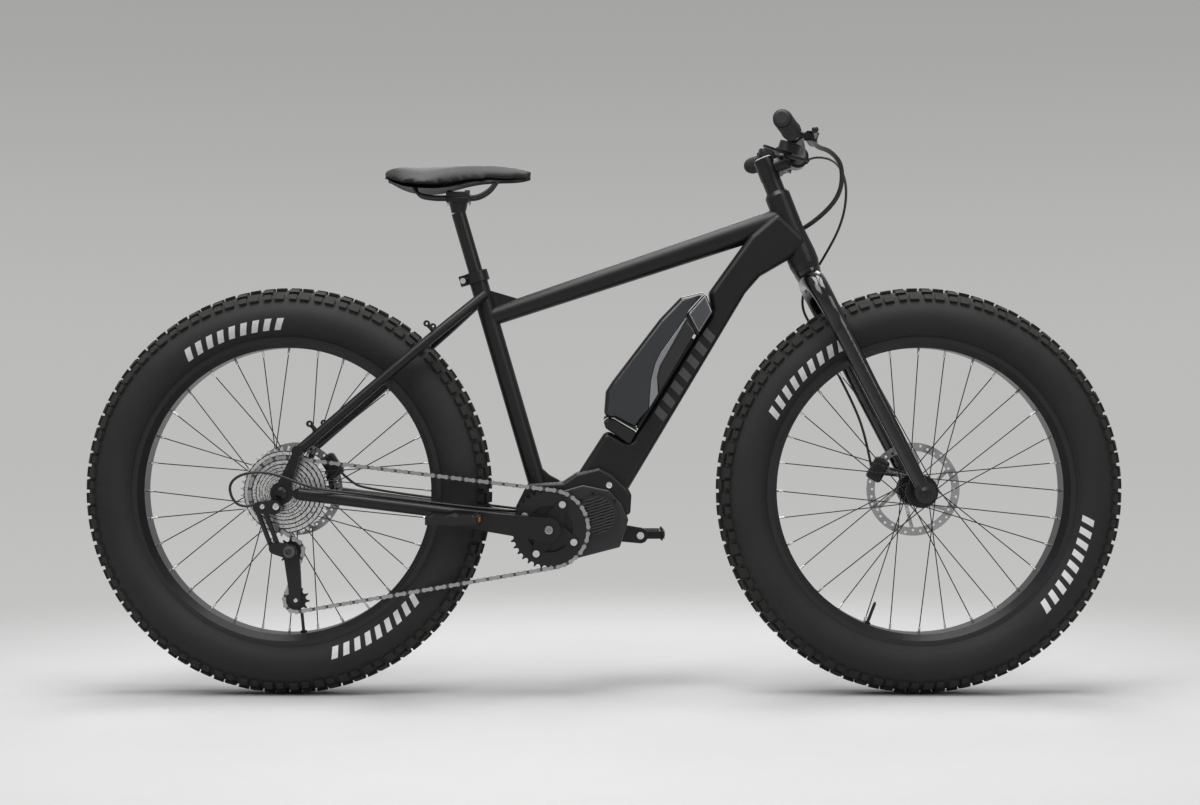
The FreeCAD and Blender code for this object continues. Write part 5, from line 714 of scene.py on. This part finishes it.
@dataclass
class Plate:
    """A thin plate with a side-view outline, on one flank of a body or mirrored on both."""

    name: str
    body: str
    slot: str
    finish: Finish
    outline: tuple[Flat, ...]
    inner: float
    outer: float
    both: bool = True
    bevel: float = 0.0008

    def build(self) -> None:
        """Make the plate or the pair."""
        for hand, label in ((-1, "right"), (1, "left")) if self.both else ((-1, "right"),):
            verts = [(x, hand * y, z) for y in (self.inner, self.outer) for x, z in self.outline]
            name = f"{self.name}_{label}" if self.both else self.name
            piece = mesh_piece(name, verts, prism_faces(len(self.outline)))
            bevelled(piece, self.bevel)
            dress(piece, self.finish.material())
            settle(piece, self.body)


@dataclass
class Wheel:
    """One wheel's trim: bright nipples and plain white bars on both sidewalls."""

    side: str
    axle: Vector
    starts: tuple[float, ...]
    bars: int = 9
    pitch: float = math.radians(4.1)
    low: float = 0.304
    high: float = 0.326
    proud: float = 0.0005
    slant: float = math.radians(1.4)
    width: float = math.radians(2.2)
    rows: int = 6
    probes: int = 12
    nipples: Flat = (0.2575, 0.2582)
    carrier: float = 0.05

    def casing(self, radius: float, hand: int) -> float:
        """Half the tyre's width at a radius.

        Args:
            radius: The distance from the axle.
            hand: -1 for the right sidewall, 1 for the left.

        Returns:
            How far the casing reaches from the middle plane.
        """
        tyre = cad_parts[f"{self.side}_tyre"]
        widths = []
        for turn in range(self.probes):
            angle = FULL_TURN * (turn + 0.37) / self.probes
            start = self.axle + Vector((radius * math.cos(angle), 0.2 * hand, radius * math.sin(angle)))
            hit, place, _, _ = tyre.ray_cast(start, Vector((0.0, -hand, 0.0)))
            if hit:
                widths.append(abs(place.y))
        return max(widths)

    def bar_mesh(self, hand: int) -> bpy.types.Object:
        """One slanting bar that lies on the sidewall at the top of the wheel.

        Args:
            hand: -1 for the right sidewall, 1 for the left.

        Returns:
            The bar, modelled about the world origin.
        """
        verts, faces = [], []
        for row in range(self.rows + 1):
            share = row / self.rows
            radius = self.low + (self.high - self.low) * share
            bulge = self.casing(radius, hand) + self.proud
            for edge in (-0.5, 0.5):
                angle = math.pi / 2 + edge * self.width + (share - 0.5) * self.slant * hand
                verts.append((radius * math.cos(angle), hand * bulge, radius * math.sin(angle)))
        for row in range(self.rows):
            one = 2 * row
            quad = (one, one + 1, one + 3, one + 2)
            faces.append(quad if hand < 0 else quad[::-1])
        mesh = bpy.data.meshes.new(f"{self.side}_bar")
        mesh.from_pydata(verts, [], faces)
        return shown(mesh.name, mesh)

    def build(self) -> None:
        """Dress the spokes and lay the bars."""
        centre = (self.axle.x, self.axle.z)
        spokes = Shading(f"{self.side} spokes", Finishes.DARK_STEEL)
        nipples = spokes.step(spokes.radius(centre), *self.nipples)
        dress(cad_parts[f"{self.side}_spokes"], spokes.two_tone(nipples, Finishes.STEEL))
        dress(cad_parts[f"{self.side}_tyre"], tyre_material(f"{self.side} tyre", self.axle))
        dress(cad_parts[f"{self.side}_brake_disc"],
              brushed_material(f"{self.side} disc", Finishes.DISC, centre, Finishes.STEEL, self.carrier))
        for hand in (-1, 1):
            for number, start in enumerate(self.starts):
                row = RowTree.repeat(self.bar_mesh(hand), self.bars, self.axle, Finishes.WHITE, start=start,
                                     turn=self.pitch)
                label = "right" if hand < 0 else "left"
                row.name = f"{self.side}_sidewall_{label}_{number + 1}"
                settle(row, f"{self.side}_wheel")


@dataclass
class Cord:
    """A cable or hose along a smooth line through its route."""

    name: str
    node: str
    route: tuple[Point, ...]
    length: float
    diameter: float
    body: str
    stiffness: str = "medium"
    lay: str = "loose"
    sides: int = 12

    def curve(self, name: str, bevel: float) -> bpy.types.Object:
        """The route as a spline.

        Args:
            name: The object's name.
            bevel: The tube's radius, or zero for a bare line.

        Returns:
            The curve object.
        """
        data = bpy.data.curves.new(name, "CURVE")
        data.dimensions = "3D"
        data.resolution_u = 10
        data.bevel_depth = bevel
        data.bevel_resolution = 3
        data.use_fill_caps = bevel > 0
        line = data.splines.new("NURBS")
        line.points.add(len(self.route) - 1)
        for point, (x, y, z) in zip(line.points, self.route):
            point.co = (x / 1000, y / 1000, z / 1000, 1.0)
        line.order_u = 3
        line.use_endpoint_u = True
        return shown(name, data)

    def line(self) -> list[Vector]:
        """Points along the spline.

        Returns:
            The points of the bare line, in order.
        """
        bare = self.curve(f"{self.name}_line", 0.0)
        graph = bpy.context.evaluated_depsgraph_get()
        mesh = bpy.data.meshes.new_from_object(bare.evaluated_get(graph))
        points = [v.co.copy() for v in mesh.vertices]
        bpy.data.objects.remove(bare)
        return points

    def tube(self) -> tuple[bpy.types.Object, list[Vector]]:
        """The cord as a closed mesh tube along its line.

        Returns:
            The tube and the points that it follows.
        """
        points = self.line()
        count = len(points)
        across = Vector((0.0, 0.0, 1.0))
        verts = []
        for index, point in enumerate(points):
            ahead = (points[min(index + 1, count - 1)] - points[max(index - 1, 0)]).normalized()
            across = (across - ahead * across.dot(ahead)).normalized()
            up = ahead.cross(across)
            for side in range(self.sides):
                angle = FULL_TURN * side / self.sides
                verts.append(point + (across * math.cos(angle) + up * math.sin(angle)) * self.diameter / 2)
        faces = [*ring_faces(count, self.sides), range(self.sides),
                 range((count - 1) * self.sides, count * self.sides)]
        piece = mesh_piece(self.name, verts, faces)
        piece.data.shade_smooth()
        return piece, points

    def build(self) -> None:
        """Lay the cord on its body."""
        piece = self.curve(self.name, self.diameter / 2)
        dress(piece, Finishes.HOSE.material())
        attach(piece, self.body)
        self.declare()

    def build_bending(self, other: str, start: int, end: int) -> None:
        """Lay the cord as a fixed mesh tube in the world.

        Args:
            other: The body at the route's far end; not used.
            start: The route point where it stops following its own body; not used.
            end: The route point from which it follows the other one; not used.
        """
        piece, points = self.tube()
        dress(piece, Finishes.HOSE.material())
        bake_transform(piece)
        self.declare()

    def declare(self) -> None:
        """Hide the cord's plain part and log the cord.
        """
        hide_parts(self.node)
        LOG.info("built %s", self.name)


def chain_material() -> bpy.types.Material:
    """Bright outer plates over dark inner ones.

    Returns:
        The material.
    """
    shading = Shading("chain two tone", Finishes.CHAIN_INNER)
    parts = add_node(shading.tree, "ShaderNodeSeparateXYZ", {0: shading.place})
    off = shading.math("ABSOLUTE", shading.math("ADD", parts.outputs["Y"], -CHAIN_PLANE))
    return shading.two_tone(shading.step(off, 0.0021, 0.0024), Finishes.CHAIN)


@dataclass
class Chain:
    """The chain in three lengths: on the frame's wheels, on the cage, and the slack run between them."""

    guide: Vector = field(default_factory=lambda: Vector((-0.5845, CHAIN_PLANE, 0.275)))
    tension: Vector = field(default_factory=lambda: Vector((-0.57549, CHAIN_PLANE, 0.18344)))
    pulley: float = 0.02254
    ring: float = 0.07286
    near: float = 0.007
    bending: float = 0.5
    leaving: float = 0.12

    def slack_ends(self) -> tuple[Vector, Vector]:
        """Where the slack run leaves the tension pulley and meets the chainring.

        Returns:
            The two points in the chain's plane.
        """
        ring = Vector((BRACKET.x, CHAIN_PLANE, BRACKET.z))
        line = ring - self.tension
        lean = math.atan2(line.z, line.x)
        drop = math.asin((self.ring - self.pulley) / line.length)
        down = Vector((math.sin(lean - drop), 0.0, -math.cos(lean - drop)))
        return self.tension + down * self.pulley, ring + down * self.ring

    def share_of(self, spot: Vector) -> str:
        """Which length a link belongs to.

        Args:
            spot: The link's middle.

        Returns:
            The length's name.
        """
        one, two = self.slack_ends()
        run = two - one
        share = (spot - one).dot(run) / run.length_squared
        off = (spot - one - run * share)
        if 0.0 < share < 1.0 and math.hypot(off.x, off.z) < self.near:
            return "slack"
        flat = Vector((spot.x - self.tension.x, 0.0, spot.z - self.tension.z))
        if flat.length < self.pulley + self.near:
            return "cage"
        line = self.tension - self.guide
        share = (spot - self.guide).dot(line) / line.length_squared
        off = spot - self.guide - line * share
        if self.leaving < share < 1.0 and math.hypot(off.x, off.z) < self.pulley + self.near:
            return "cage"
        return "frame"

    def build(self) -> None:
        """Split the links and let each length follow what carries it."""
        solid = welded(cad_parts["chain"].data)
        left = dict.fromkeys(solid.verts)
        groups: dict[str, tuple[list[Vector], list[tuple[int, ...]]]] = {}
        while left:
            heap = [left.popitem()[0]]
            island = list(heap)
            while heap:
                for edge in heap.pop().link_edges:
                    for vert in edge.verts:
                        if vert in left:
                            del left[vert]
                            heap.append(vert)
                            island.append(vert)
            middle = sum((v.co for v in island), Vector()) / len(island)
            verts, faces = groups.setdefault(self.share_of(middle), ([], []))
            base = {v: len(verts) + i for i, v in enumerate(island)}
            verts.extend(v.co.copy() for v in island)
            own = dict.fromkeys(face for vert in island for face in vert.link_faces)
            faces.extend(tuple(base[vert] for vert in face.verts) for face in own)
        solid.free()
        finish = chain_material()
        for label, (verts, faces) in groups.items():
            piece = mesh_piece(f"chain_{label}", verts, faces)
            dress(piece, finish)
            if label == "slack":
                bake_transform(piece)
            else:
                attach(piece, {"cage": "derailleur_cage"}.get(label, label))
            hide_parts("chain")
            LOG.info("built %s with %d faces", piece.name, len(faces))


@dataclass
class Saddle:
    """The padded saddle cover, puffed out from its plain solid."""

    fill: float = 0.75
    voxel: float = 0.005
    cap: float = 0.005
    pressure: float = 3.0
    frames: int = 20
    ironing: int = 3
    evenings: int = 14
    reach: float = 0.001

    def build(self) -> None:
        """Puff the pad and dress it."""
        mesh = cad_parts["saddle_pad"].data.copy()
        solid = welded(mesh)
        solid.to_mesh(mesh)
        solid.free()
        piece = shown("saddle_cover", mesh)
        remesh = piece.modifiers.new("even", "REMESH")
        remesh.mode = "VOXEL"
        remesh.voxel_size = self.voxel
        evaluated(piece)
        self.puff(piece)
        ironed = piece.modifiers.new("iron", "SMOOTH")
        ironed.factor = 0.5
        ironed.iterations = self.ironing
        evaluated(piece)
        smooth = piece.modifiers.new("soft", "SUBSURF")
        smooth.levels = smooth.render_levels = 1
        evaluated(piece)
        self.stretch(piece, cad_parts["saddle_pad"].data)
        piece.data.shade_smooth()
        dress(piece, Finishes.LEATHER.material())
        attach(piece, "seat")
        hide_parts("saddle_pad")
        LOG.info("built saddle_cover")

    def puff(self, piece: bpy.types.Object) -> None:
        """Blow the cover up a little, with its movement capped.

        Args:
            piece: The evenly meshed pad.
        """
        rest = [v.co.copy() for v in piece.data.vertices]
        cloth = piece.modifiers.new("puff", "CLOTH")
        cloth.settings.quality = 5
        cloth.settings.use_pressure = True
        cloth.settings.uniform_pressure_force = self.pressure
        cloth.settings.effector_weights.gravity = 0.0
        cloth.point_cache.frame_start = 1
        cloth.point_cache.frame_end = self.frames
        scene = bpy.context.scene
        for number in range(1, self.frames + 1):
            scene.frame_set(number)
        evaluated(piece)
        scene.frame_set(1)
        moves = [vert.co - old for vert, old in zip(piece.data.vertices, rest)]
        moves = [move.normalized() * min(move.length, self.cap) for move in moves]
        for vert, old, move in zip(piece.data.vertices, rest, self.evened(piece, moves)):
            vert.co = old + move

    def stretch(self, piece: bpy.types.Object, plain: bpy.types.Mesh) -> None:
        """Stretch the cover along and across the saddle, until it hides the edge of the shell.

        Args:
            piece: The finished cover.
            plain: The plain pad's mesh.
        """
        for axis in (0, 1):
            wanted = [vert.co[axis] for vert in plain.vertices]
            found = [vert.co[axis] for vert in piece.data.vertices]
            low, high, start = min(wanted) - self.reach, max(wanted) + self.reach, min(found)
            scale = (high - low) / (max(found) - start)
            for vert in piece.data.vertices:
                vert.co[axis] = low + (vert.co[axis] - start) * scale

    def evened(self, piece: bpy.types.Object, moves: list[Vector]) -> list[Vector]:
        """Average the moves of neighbouring points, so that the cover stays free of lumps.

        Args:
            piece: The evenly meshed pad.
            moves: How far each of its points moved.

        Returns:
            The averaged moves.
        """
        near: list[list[int]] = [[number] for number in range(len(moves))]
        for edge in piece.data.edges:
            one, two = edge.vertices
            near[one].append(two)
            near[two].append(one)
        for _ in range(self.evenings):
            moves = [sum((moves[n] for n in group), Vector()) / len(group) for group in near]
        return moves


CORDS: dict[str, Cord] = {
    "bundle": Cord("handlebar_cable_bundle", "control_cables", (
        (379.2, -171.8, 1026.64), (391, -118, 1024.5), (425, -58, 1024), (452, -22, 1000), (450, 2, 945),
        (404, 30, 898), (350, 44, 870), (298, 30, 843)), 0.422, 0.009, "steering"),
    "front_hose": Cord("front_hose", "front_brake_hose", (
        (379.2, 171.8, 1026.64), (389, 126, 1025), (415, 70, 1030), (448, 28, 1014), (465, 14, 968),
        (458, 22, 900), (424.9, 51.6, 832.3), (374.0, 89.1, 750.6), (418.8, 91.5, 677.6),
        (484.8, 88.2, 552.3), (508.4, 79.7, 486.0), (518.5, 70.5, 424)), 0.815, 0.005, "steering"),
    "rear_hose": Cord("rear_hose", "rear_cables", (
        (-158.4, 41.4, 347.8), (-210.0, 66.0, 352.4), (-270.0, 76.0, 359.3), (-466.2, 95.1, 384.9),
        (-494.6, 93.6, 398.9), (-516.6, 91.6, 421.7)), 0.380, 0.005, "frame"),
    "gear_cable": Cord("gear_cable", "rear_cables", (
        (-158.4, -41.4, 347.8), (-210.0, -66.0, 352.4), (-270.0, -76.0, 359.3), (-466.2, -95.1, 384.9),
        (-540.7, -118.2, 393.7), (-610, -128, 424), (-662, -128, 424), (-692, -124, 404), (-686, -121, 372),
        (-664, -119, 358), (-640.7, -118.2, 364.8)), 0.635, 0.005, "frame"),
}


def spanned(*shares: Flat) -> tuple[Flat, ...]:
    """Side-view points along and above the line from the bracket to the head tube's foot.

    Args:
        shares: Pairs of shares along and above that line.

    Returns:
        Points in metres.
    """
    along, above = (0.4830, 0.5006), (-0.5006, 0.4830)
    return tuple((BRACKET.x + a * along[0] + b * above[0], BRACKET.z + a * along[1] + b * above[1])
                 for a, b in shares)


class Battery:
    """Side panels of the battery, dark plates of painted shade in the gaps at its two ends, and the cover of
    its lock.
    """

    def build(self) -> None:
        """Make the panels on both flanks."""
        Plate("battery_panel", "battery", "motor_case", Finishes.SLATE, spanned(
            (0.417, 0.032), (0.477, 0.082), (0.517, 0.105), (0.547, 0.115), (0.6645, 0.1315), (0.6746, 0.135),
            (0.7096, 0.1445), (0.738, 0.146), (0.692, 0.168), (0.6155, 0.168), (0.5004, 0.155),
            (0.404, 0.1435), (0.376, 0.137), (0.330, 0.101), (0.345, 0.0885), (0.360, 0.030)),
            0.0405, 0.0427, bevel=0.0012).build()
        Plate("battery_strip", "battery", "steel", Finishes.SILVER, spanned(
            (0.420, 0.032), (0.4785, 0.0805), (0.518, 0.1030), (0.548, 0.1130), (0.6645, 0.1300),
            (0.6667, 0.1280), (0.5225, 0.0906), (0.4964, 0.0762), (0.4657, 0.0418)), 0.0405, 0.0424).build()
        Plate("battery_insert", "battery", "motor_case", Finishes.PIANO, spanned(
            (0.4701, 0.0415), (0.5000, 0.0740), (0.5260, 0.0880), (0.6600, 0.1230), (0.6535, 0.0850)),
            0.0405, 0.0428).build()
        Plate("lock_rim", "frame", "steel", Finishes.SILVER, spanned(
            (0.6620, 0.0780), (0.7260, 0.0910), (0.7455, 0.1345), (0.6790, 0.1315)), 0.0405, 0.0419).build()
        Plate("lock_cover", "frame", "black_plastic", Finishes.GREY, spanned(
            (0.6650, 0.0805), (0.7240, 0.0925), (0.7415, 0.1318), (0.6815, 0.1288)), 0.0405, 0.0424).build()
        # The two seams are dark plates of painted shade, set back in the gaps at the battery's foot and at
        # its lock.
        Plate("foot_seam", "battery", "black_plastic", Finishes.GROOVE_SHADE, spanned(
            (0.3120, 0.0990), (0.3262, 0.0948), (0.3351, 0.0818), (0.3528, 0.0130), (0.3600, 0.0200),
            (0.3420, 0.0850), (0.3200, 0.1030)), 0.0150, 0.0345, bevel=0.0003).build()
        Plate("lock_seam", "frame", "black_plastic", Finishes.GROOVE_SHADE, spanned(
            (0.6562, 0.0700), (0.6562, 0.0842), (0.6750, 0.1355), (0.6790, 0.1352), (0.6590, 0.0745)),
            0.0150, 0.0395, bevel=0.0003).build()


@dataclass
class Motor:
    """Cooling fins on the motor's round cover and the screws round it."""

    centre: Flat = (-0.0130, 0.3409)
    reach: float = 0.0340
    pitch: float = 0.0054
    width: float = 0.0027
    slope: float = math.radians(17)
    face: float = -0.0619
    proud: float = 0.0014
    ring: float = 0.0435
    turns: tuple[float, ...] = (41, 101, 137)
    seat: float = -0.057
    screw: float = 0.0036

    def fins(self) -> None:
        """Lay slanting fins across the cover, cut to a circle."""
        along = Vector((math.cos(self.slope), 0.0, math.sin(self.slope)))
        above = Vector((-along.z, 0.0, along.x))
        middle = Vector((self.centre[0], self.face, self.centre[1]))
        count = int(self.reach / self.pitch)
        verts, faces = [], []
        for row in range(-count, count + 1):
            half = math.sqrt(self.reach ** 2 - (row * self.pitch) ** 2)
            start = len(verts)
            for depth, narrow in ((0.0, 1.0), (self.proud, 0.7)):
                for run, rise in SQUARE:
                    lift = above * (row * self.pitch + rise * self.width / 2 * narrow)
                    verts.append(middle + along * half * run + lift - Vector((0.0, depth, 0.0)))
            faces += prism_faces(len(SQUARE), start)
        piece = mesh_piece("motor_fins", verts, faces)
        dress(piece, Finishes.FINS.material())
        settle(piece, "frame")

    def build(self) -> None:
        """Make the fins and the screws."""
        # The cover under the fins is painted near-black as shade in the grooves between them.
        dress(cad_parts["drive_unit_cover"], Finishes.GROOVE_SHADE.material())
        self.fins()
        places = []
        for angle in self.turns:
            turn = math.radians(angle)
            places.append(((self.centre[0] + self.ring * math.cos(turn), self.seat,
                            self.centre[1] + self.ring * math.sin(turn)), RIGHTWARDS, self.screw))
        Studs("cover_screws", "frame", "dark_steel", Finishes.DARK_STEEL, tuple(places)).build()


@dataclass
class TubeBars:
    """Slanting bars along the down tube, in gloss grey on the matt paint."""

    count: int = 7
    first: Flat = (0.432, -0.002)
    step: Flat = (0.0405, 0.0089)
    half: float = 0.0105
    tall: float = 0.0165
    rise: float = 0.22
    lean: float = 0.25

    def build(self) -> None:
        """Set the bars on both flanks of the tube."""
        for number in range(self.count):
            a = self.first[0] + self.step[0] * number
            b = self.first[1] + self.step[1] * number
            corners = []
            for along, above in SQUARE:
                run = along * self.half + above * self.tall * self.lean
                tall = above * self.tall
                corners.append((a + run - tall * self.rise, b + run * self.rise + tall))
            Plate(f"tube_bar_{number + 1}", "frame", "frame_paint", Finishes.BARS, spanned(*corners),
                  0.0300, 0.0313, bevel=0.0003).build()


@dataclass
class Grips:
    """Ridges round both grips."""

    end: Vector = field(default_factory=lambda: Vector((0.3062, -0.360, 1.0442)))
    out: Vector = field(default_factory=lambda: Vector((-0.2135, -0.9762, 0.0389)))
    radius: float = 0.0158
    thick: float = 0.0013
    count: int = 13
    pitch: float = 0.0082
    margin: float = 0.0130
    flat: float = 1.6
    around: int = 36
    tube: int = 8

    def build(self) -> None:
        """Set the ridges on both grips."""
        for hand, label in ((1, "right"), (-1, "left")):
            out = Vector((self.out.x, self.out.y * hand, self.out.z)).normalized()
            end = Vector((self.end.x, self.end.y * hand, self.end.z))
            turn = Vector((0.0, 0.0, 1.0)).rotation_difference(out).to_matrix()
            verts = []
            for i in range(self.around):
                for j in range(self.tube):
                    big, small = FULL_TURN * i / self.around, FULL_TURN * j / self.tube
                    reach = self.radius + self.thick * math.cos(small)
                    verts.append(turn @ Vector((reach * math.cos(big), reach * math.sin(big),
                                                self.thick * self.flat * math.sin(small))))
            ring = mesh_piece(f"grip_ridges_{label}", verts, ring_faces(self.around, self.tube, closed=True))
            ring.data.shade_smooth()
            first = end - out * self.margin
            RowTree.repeat(ring, self.count, first, Finishes.RUBBER, step=-out * self.pitch)
            settle(ring, "steering")


@dataclass
class Pedals:
    """Amber reflectors at both ends of the pedals."""

    wide: float = 0.024
    tall: float = 0.0042
    proud: float = 0.0012
    sunk: float = 0.002

    def build(self) -> None:
        """Set the reflectors."""
        for body in ("pedal_right", "pedal_left"):
            low, high = (Vector(corner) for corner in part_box(body))
            middle = (low + high) / 2
            for side, x, ahead in (("rear", low.x, -1), ("front", high.x, 1)):
                ends = sorted((x + ahead * self.proud, x - ahead * self.sunk))
                verts = [(end, middle.y + b * self.wide, middle.z + c * self.tall)
                         for end in ends for b, c in SQUARE]
                piece = mesh_piece(f"{body}_reflector_{side}", verts, prism_faces(len(SQUARE)))
                bevelled(piece, 0.001)
                dress(piece, Finishes.AMBER.material())
                settle(piece, body)


class Cockpit:
    """Screen and faceplate bolts at the handlebar."""

    CENTRE = Vector((0.3662, 0.0, 1.0172))

    def build(self) -> None:
        """Make the screen and the bolts."""
        top = Vector((0.34535, 0.0, 1.0374)) + STEER_UP * 0.0048
        half_long, half_wide, rise = 0.0155, 0.0195, 0.0006
        verts = [top + STEER_AHEAD * half_long * a + Vector((0, half_wide * b, 0)) + STEER_UP * rise * c
                 for c in (-1, 1) for a, b in SQUARE]
        screen = mesh_piece("display_screen", verts, prism_faces(len(SQUARE)))
        bevelled(screen, 0.0004)
        dress(screen, Finishes.SCREEN.material())
        settle(screen, "steering")
        ahead, rise, aside, gauge = 0.0172, 0.0125, 0.0145, 0.0042
        Studs("faceplate_bolts", "steering", "dark_steel", Finishes.DARK_STEEL, tuple(
            (tuple(self.CENTRE + STEER_AHEAD * ahead + STEER_UP * rise * up + Vector((0, aside * side, 0))),
             tuple(STEER_AHEAD), gauge) for up in (-1, 1) for side in (-1, 1))).build()


class SmallMetal:
    """Bright bolts that belong to darker clamps."""

    def build(self) -> None:
        """Dress the clamps whose bolts shine."""
        for node, finish, places in (
                ("seat_clamp", Finishes.ALLOY, ((-0.2681, 0.7833, 0.0056),)),
                ("saddle_clamp", Finishes.DARK_STEEL, ((-0.2939, 0.9285, 0.0058), (-0.2599, 0.9285, 0.0058))),
                ("chainring", Finishes.DARK_STEEL, ((-0.0779, 0.3619, 0.0068), (-0.1482, 0.3404, 0.0068),
                                                    (-0.1267, 0.2701, 0.0068), (-0.0564, 0.2916, 0.0068)))):
            shading = Shading(f"{node} two tone", finish)
            dress(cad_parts[node], shading.two_tone(shading.spots(places), Finishes.STEEL))
            LOG.info("dressed %s", node)
        for name, body, slot, finish, spots in (
                ("derailleur_bolts", "frame", "steel", Finishes.STEEL,
                 (((-0.6287, -0.1295, 0.3609), 0.0050), ((-0.6037, -0.1295, 0.3609), 0.0068))),
                ("knuckle_cap", "frame", "dark_steel", Finishes.GREY,
                 (((-0.5845, -0.0965, 0.2755), 0.0118),)),
                ("pulley_bolt", "derailleur_cage", "steel", Finishes.STEEL,
                 (((-0.57549, -0.0742, 0.18344), 0.0042),)),
                ("crank_bolt", "cranks", "dark_steel", Finishes.SILVER,
                 (((-0.10228, -0.1070, 0.3160), 0.0085),))):
            Studs(name, body, slot, finish, tuple((spot, RIGHTWARDS, gauge) for spot, gauge in spots)).build()
        Plate("seat_tube_web", "frame", "frame_paint", Finishes.FRAME, (
            (-0.126, 0.440), (-0.1184, 0.4285), (-0.1041, 0.4155), (-0.0844, 0.4050), (-0.084, 0.396),
            (-0.112, 0.392), (-0.126, 0.418)), -0.0075, 0.0075, both=False, bevel=0.0020).build()


@dataclass
class Studio:
    """Floor, surroundings, lights and the camera at the photo's place."""

    camera: Point = (-0.0076, -3.9, 0.5525)
    lens: float = 61.5
    reach: float = 4.0
    sides: int = 96
    clear: Flat = (0.9, 2.6)
    paper: Point = (0.58, 0.58, 0.578)
    ambient: float = 0.13
    ambient_tint: tuple[float, ...] = (0.9, 0.92, 0.95, 1.0)
    horizon: Flat = (-0.2, 0.22)
    wall: tuple[float, float, float] = (0.60, 0.50, 0.37)

    def floor(self) -> None:
        """A round pale floor that fades into the surroundings."""
        angles = [FULL_TURN * i / self.sides for i in range(self.sides)]
        verts = [(self.reach * math.cos(angle), self.reach * math.sin(angle), 0.0) for angle in angles]
        mesh = bpy.data.meshes.new("studio_floor")
        mesh.from_pydata(verts, [], [tuple(range(self.sides))])
        piece = shown("studio_floor", mesh)
        made = Finish("studio paper", self.paper, 0.85, relief=0.02, cloud=0.02, specular=0.2).material()
        tree = made.node_tree
        place = add_node(tree, "ShaderNodeTexCoord").outputs["Object"]
        reach = add_node(tree, "ShaderNodeVectorMath", {0: place}, operation="LENGTH")
        fade = add_node(tree, "ShaderNodeMapRange", {
            "From Min": self.clear[0], "From Max": self.clear[1], "Value": reach.outputs["Value"]},
            interpolation_type="SMOOTHSTEP")
        mix = add_node(tree, "ShaderNodeMixShader", {
            0: fade.outputs["Result"], 1: tree.nodes["Principled BSDF"].outputs[0],
            2: add_node(tree, "ShaderNodeBsdfTransparent").outputs[0]})
        feed(tree, tree.nodes["Material Output"], {"Surface": mix.outputs[0]})
        dress(piece, made)

    def surroundings(self) -> None:
        """Grey surroundings to look at and reflect, with a dimmer light of their own."""
        world = bpy.data.worlds.new("studio")
        bpy.context.scene.world = world
        world.use_nodes = True
        tree = world.node_tree
        light = tree.nodes["Background"]
        feed(tree, light, {"Color": self.ambient_tint, "Strength": self.ambient})
        aim = add_node(tree, "ShaderNodeTexCoord").outputs["Generated"]
        height = add_node(tree, "ShaderNodeSeparateXYZ", {0: aim}).outputs["Z"]
        share = add_node(tree, "ShaderNodeMapRange", {
            "From Min": self.horizon[0], "From Max": self.horizon[1], "Value": height})
        ramp = add_node(tree, "ShaderNodeValToRGB", {"Fac": share.outputs["Result"]})
        ramp.color_ramp.interpolation = "EASE"
        ramp.color_ramp.elements.new(0.5)
        for element, grey in zip(ramp.color_ramp.elements, self.wall):
            element.color = (grey, grey * 0.995, grey * 0.985, 1.0)
        seen = add_node(tree, "ShaderNodeBackground", {"Color": ramp.outputs["Color"]})
        rays = add_node(tree, "ShaderNodeLightPath").outputs
        fac = rays["Is Camera Ray"]
        for kind in ("Is Glossy Ray", "Is Transmission Ray"):
            fac = add_node(tree, "ShaderNodeMath", {0: fac, 1: rays[kind]}, operation="MAXIMUM").outputs[0]
        mix = add_node(tree, "ShaderNodeMixShader", {0: fac, 1: light.outputs[0], 2: seen.outputs[0]})
        feed(tree, tree.nodes["World Output"], {"Surface": mix.outputs[0]})

    def lamp(self, name: str, place: Point, aim: Point, size: float, power: float) -> None:
        """A soft square lamp.

        Args:
            name: The lamp's name.
            place: Where it stands.
            aim: What it points at.
            size: Its side in metres.
            power: Its power in watts.
        """
        data = bpy.data.lights.new(name, "AREA")
        data.size = size
        data.energy = power
        lamp = shown(name, data)
        lamp.location = place
        lamp.rotation_euler = (Vector(aim) - Vector(place)).to_track_quat("-Z", "Y").to_euler()

    def build(self) -> None:
        """Set up the whole studio."""
        self.floor()
        self.surroundings()
        self.lamp("key", (-2.0, -2.6, 4.0), (0.0, 0.0, 0.5), 2.4, 75.0)
        self.lamp("fill", (2.8, -3.0, 2.6), (0.1, 0.0, 0.5), 2.0, 32.0)
        self.lamp("back", (0.4, 3.2, 3.4), (0.0, 0.0, 0.5), 2.4, 60.0)
        self.lamp("top", (0.0, -0.3, 4.2), (0.0, 0.0, 0.4), 3.0, 185.0)
        data = bpy.data.cameras.new("camera")
        data.lens = self.lens
        data.sensor_width = 36.0
        data.sensor_fit = "HORIZONTAL"
        camera = shown("camera", data)
        camera.location = self.camera
        camera.rotation_euler = (math.pi / 2, 0.0, 0.0)
        bpy.context.scene.camera = camera
        bpy.context.scene.view_settings.view_transform = "Standard"


def main() -> None:
    """Build the bicycle's dress in order."""
    logging.basicConfig(level=logging.INFO)
    Studio().build()
    for finish, names in NODE_FINISHES.items():
        for name in names:
            dress(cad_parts[name], finish.material())
    dress(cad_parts["cassette"], cassette_material((REAR_AXLE.x, REAR_AXLE.z)))
    Wheel("rear", REAR_AXLE, (math.radians(-35), math.radians(130))).build()
    Wheel("front", FRONT_AXLE, (math.radians(-62), math.radians(100))).build()
    Chain().build()
    Saddle().build()
    Battery().build()
    Motor().build()
    TubeBars().build()
    Grips().build()
    Pedals().build()
    Cockpit().build()
    SmallMetal().build()
    Studs("motor_bolts", "frame", "steel", Finishes.STEEL, (
        ((0.0095, -0.0480, 0.397), RIGHTWARDS, 0.0065), ((0.0095, 0.0480, 0.397), (0, 1, 0), 0.0065))).build()
    CORDS["bundle"].build_bending("frame", 3, 7)
    for key in ("front_hose", "rear_hose", "gear_cable"):
        CORDS[key].build()


if __name__ == "__main__":
    main()
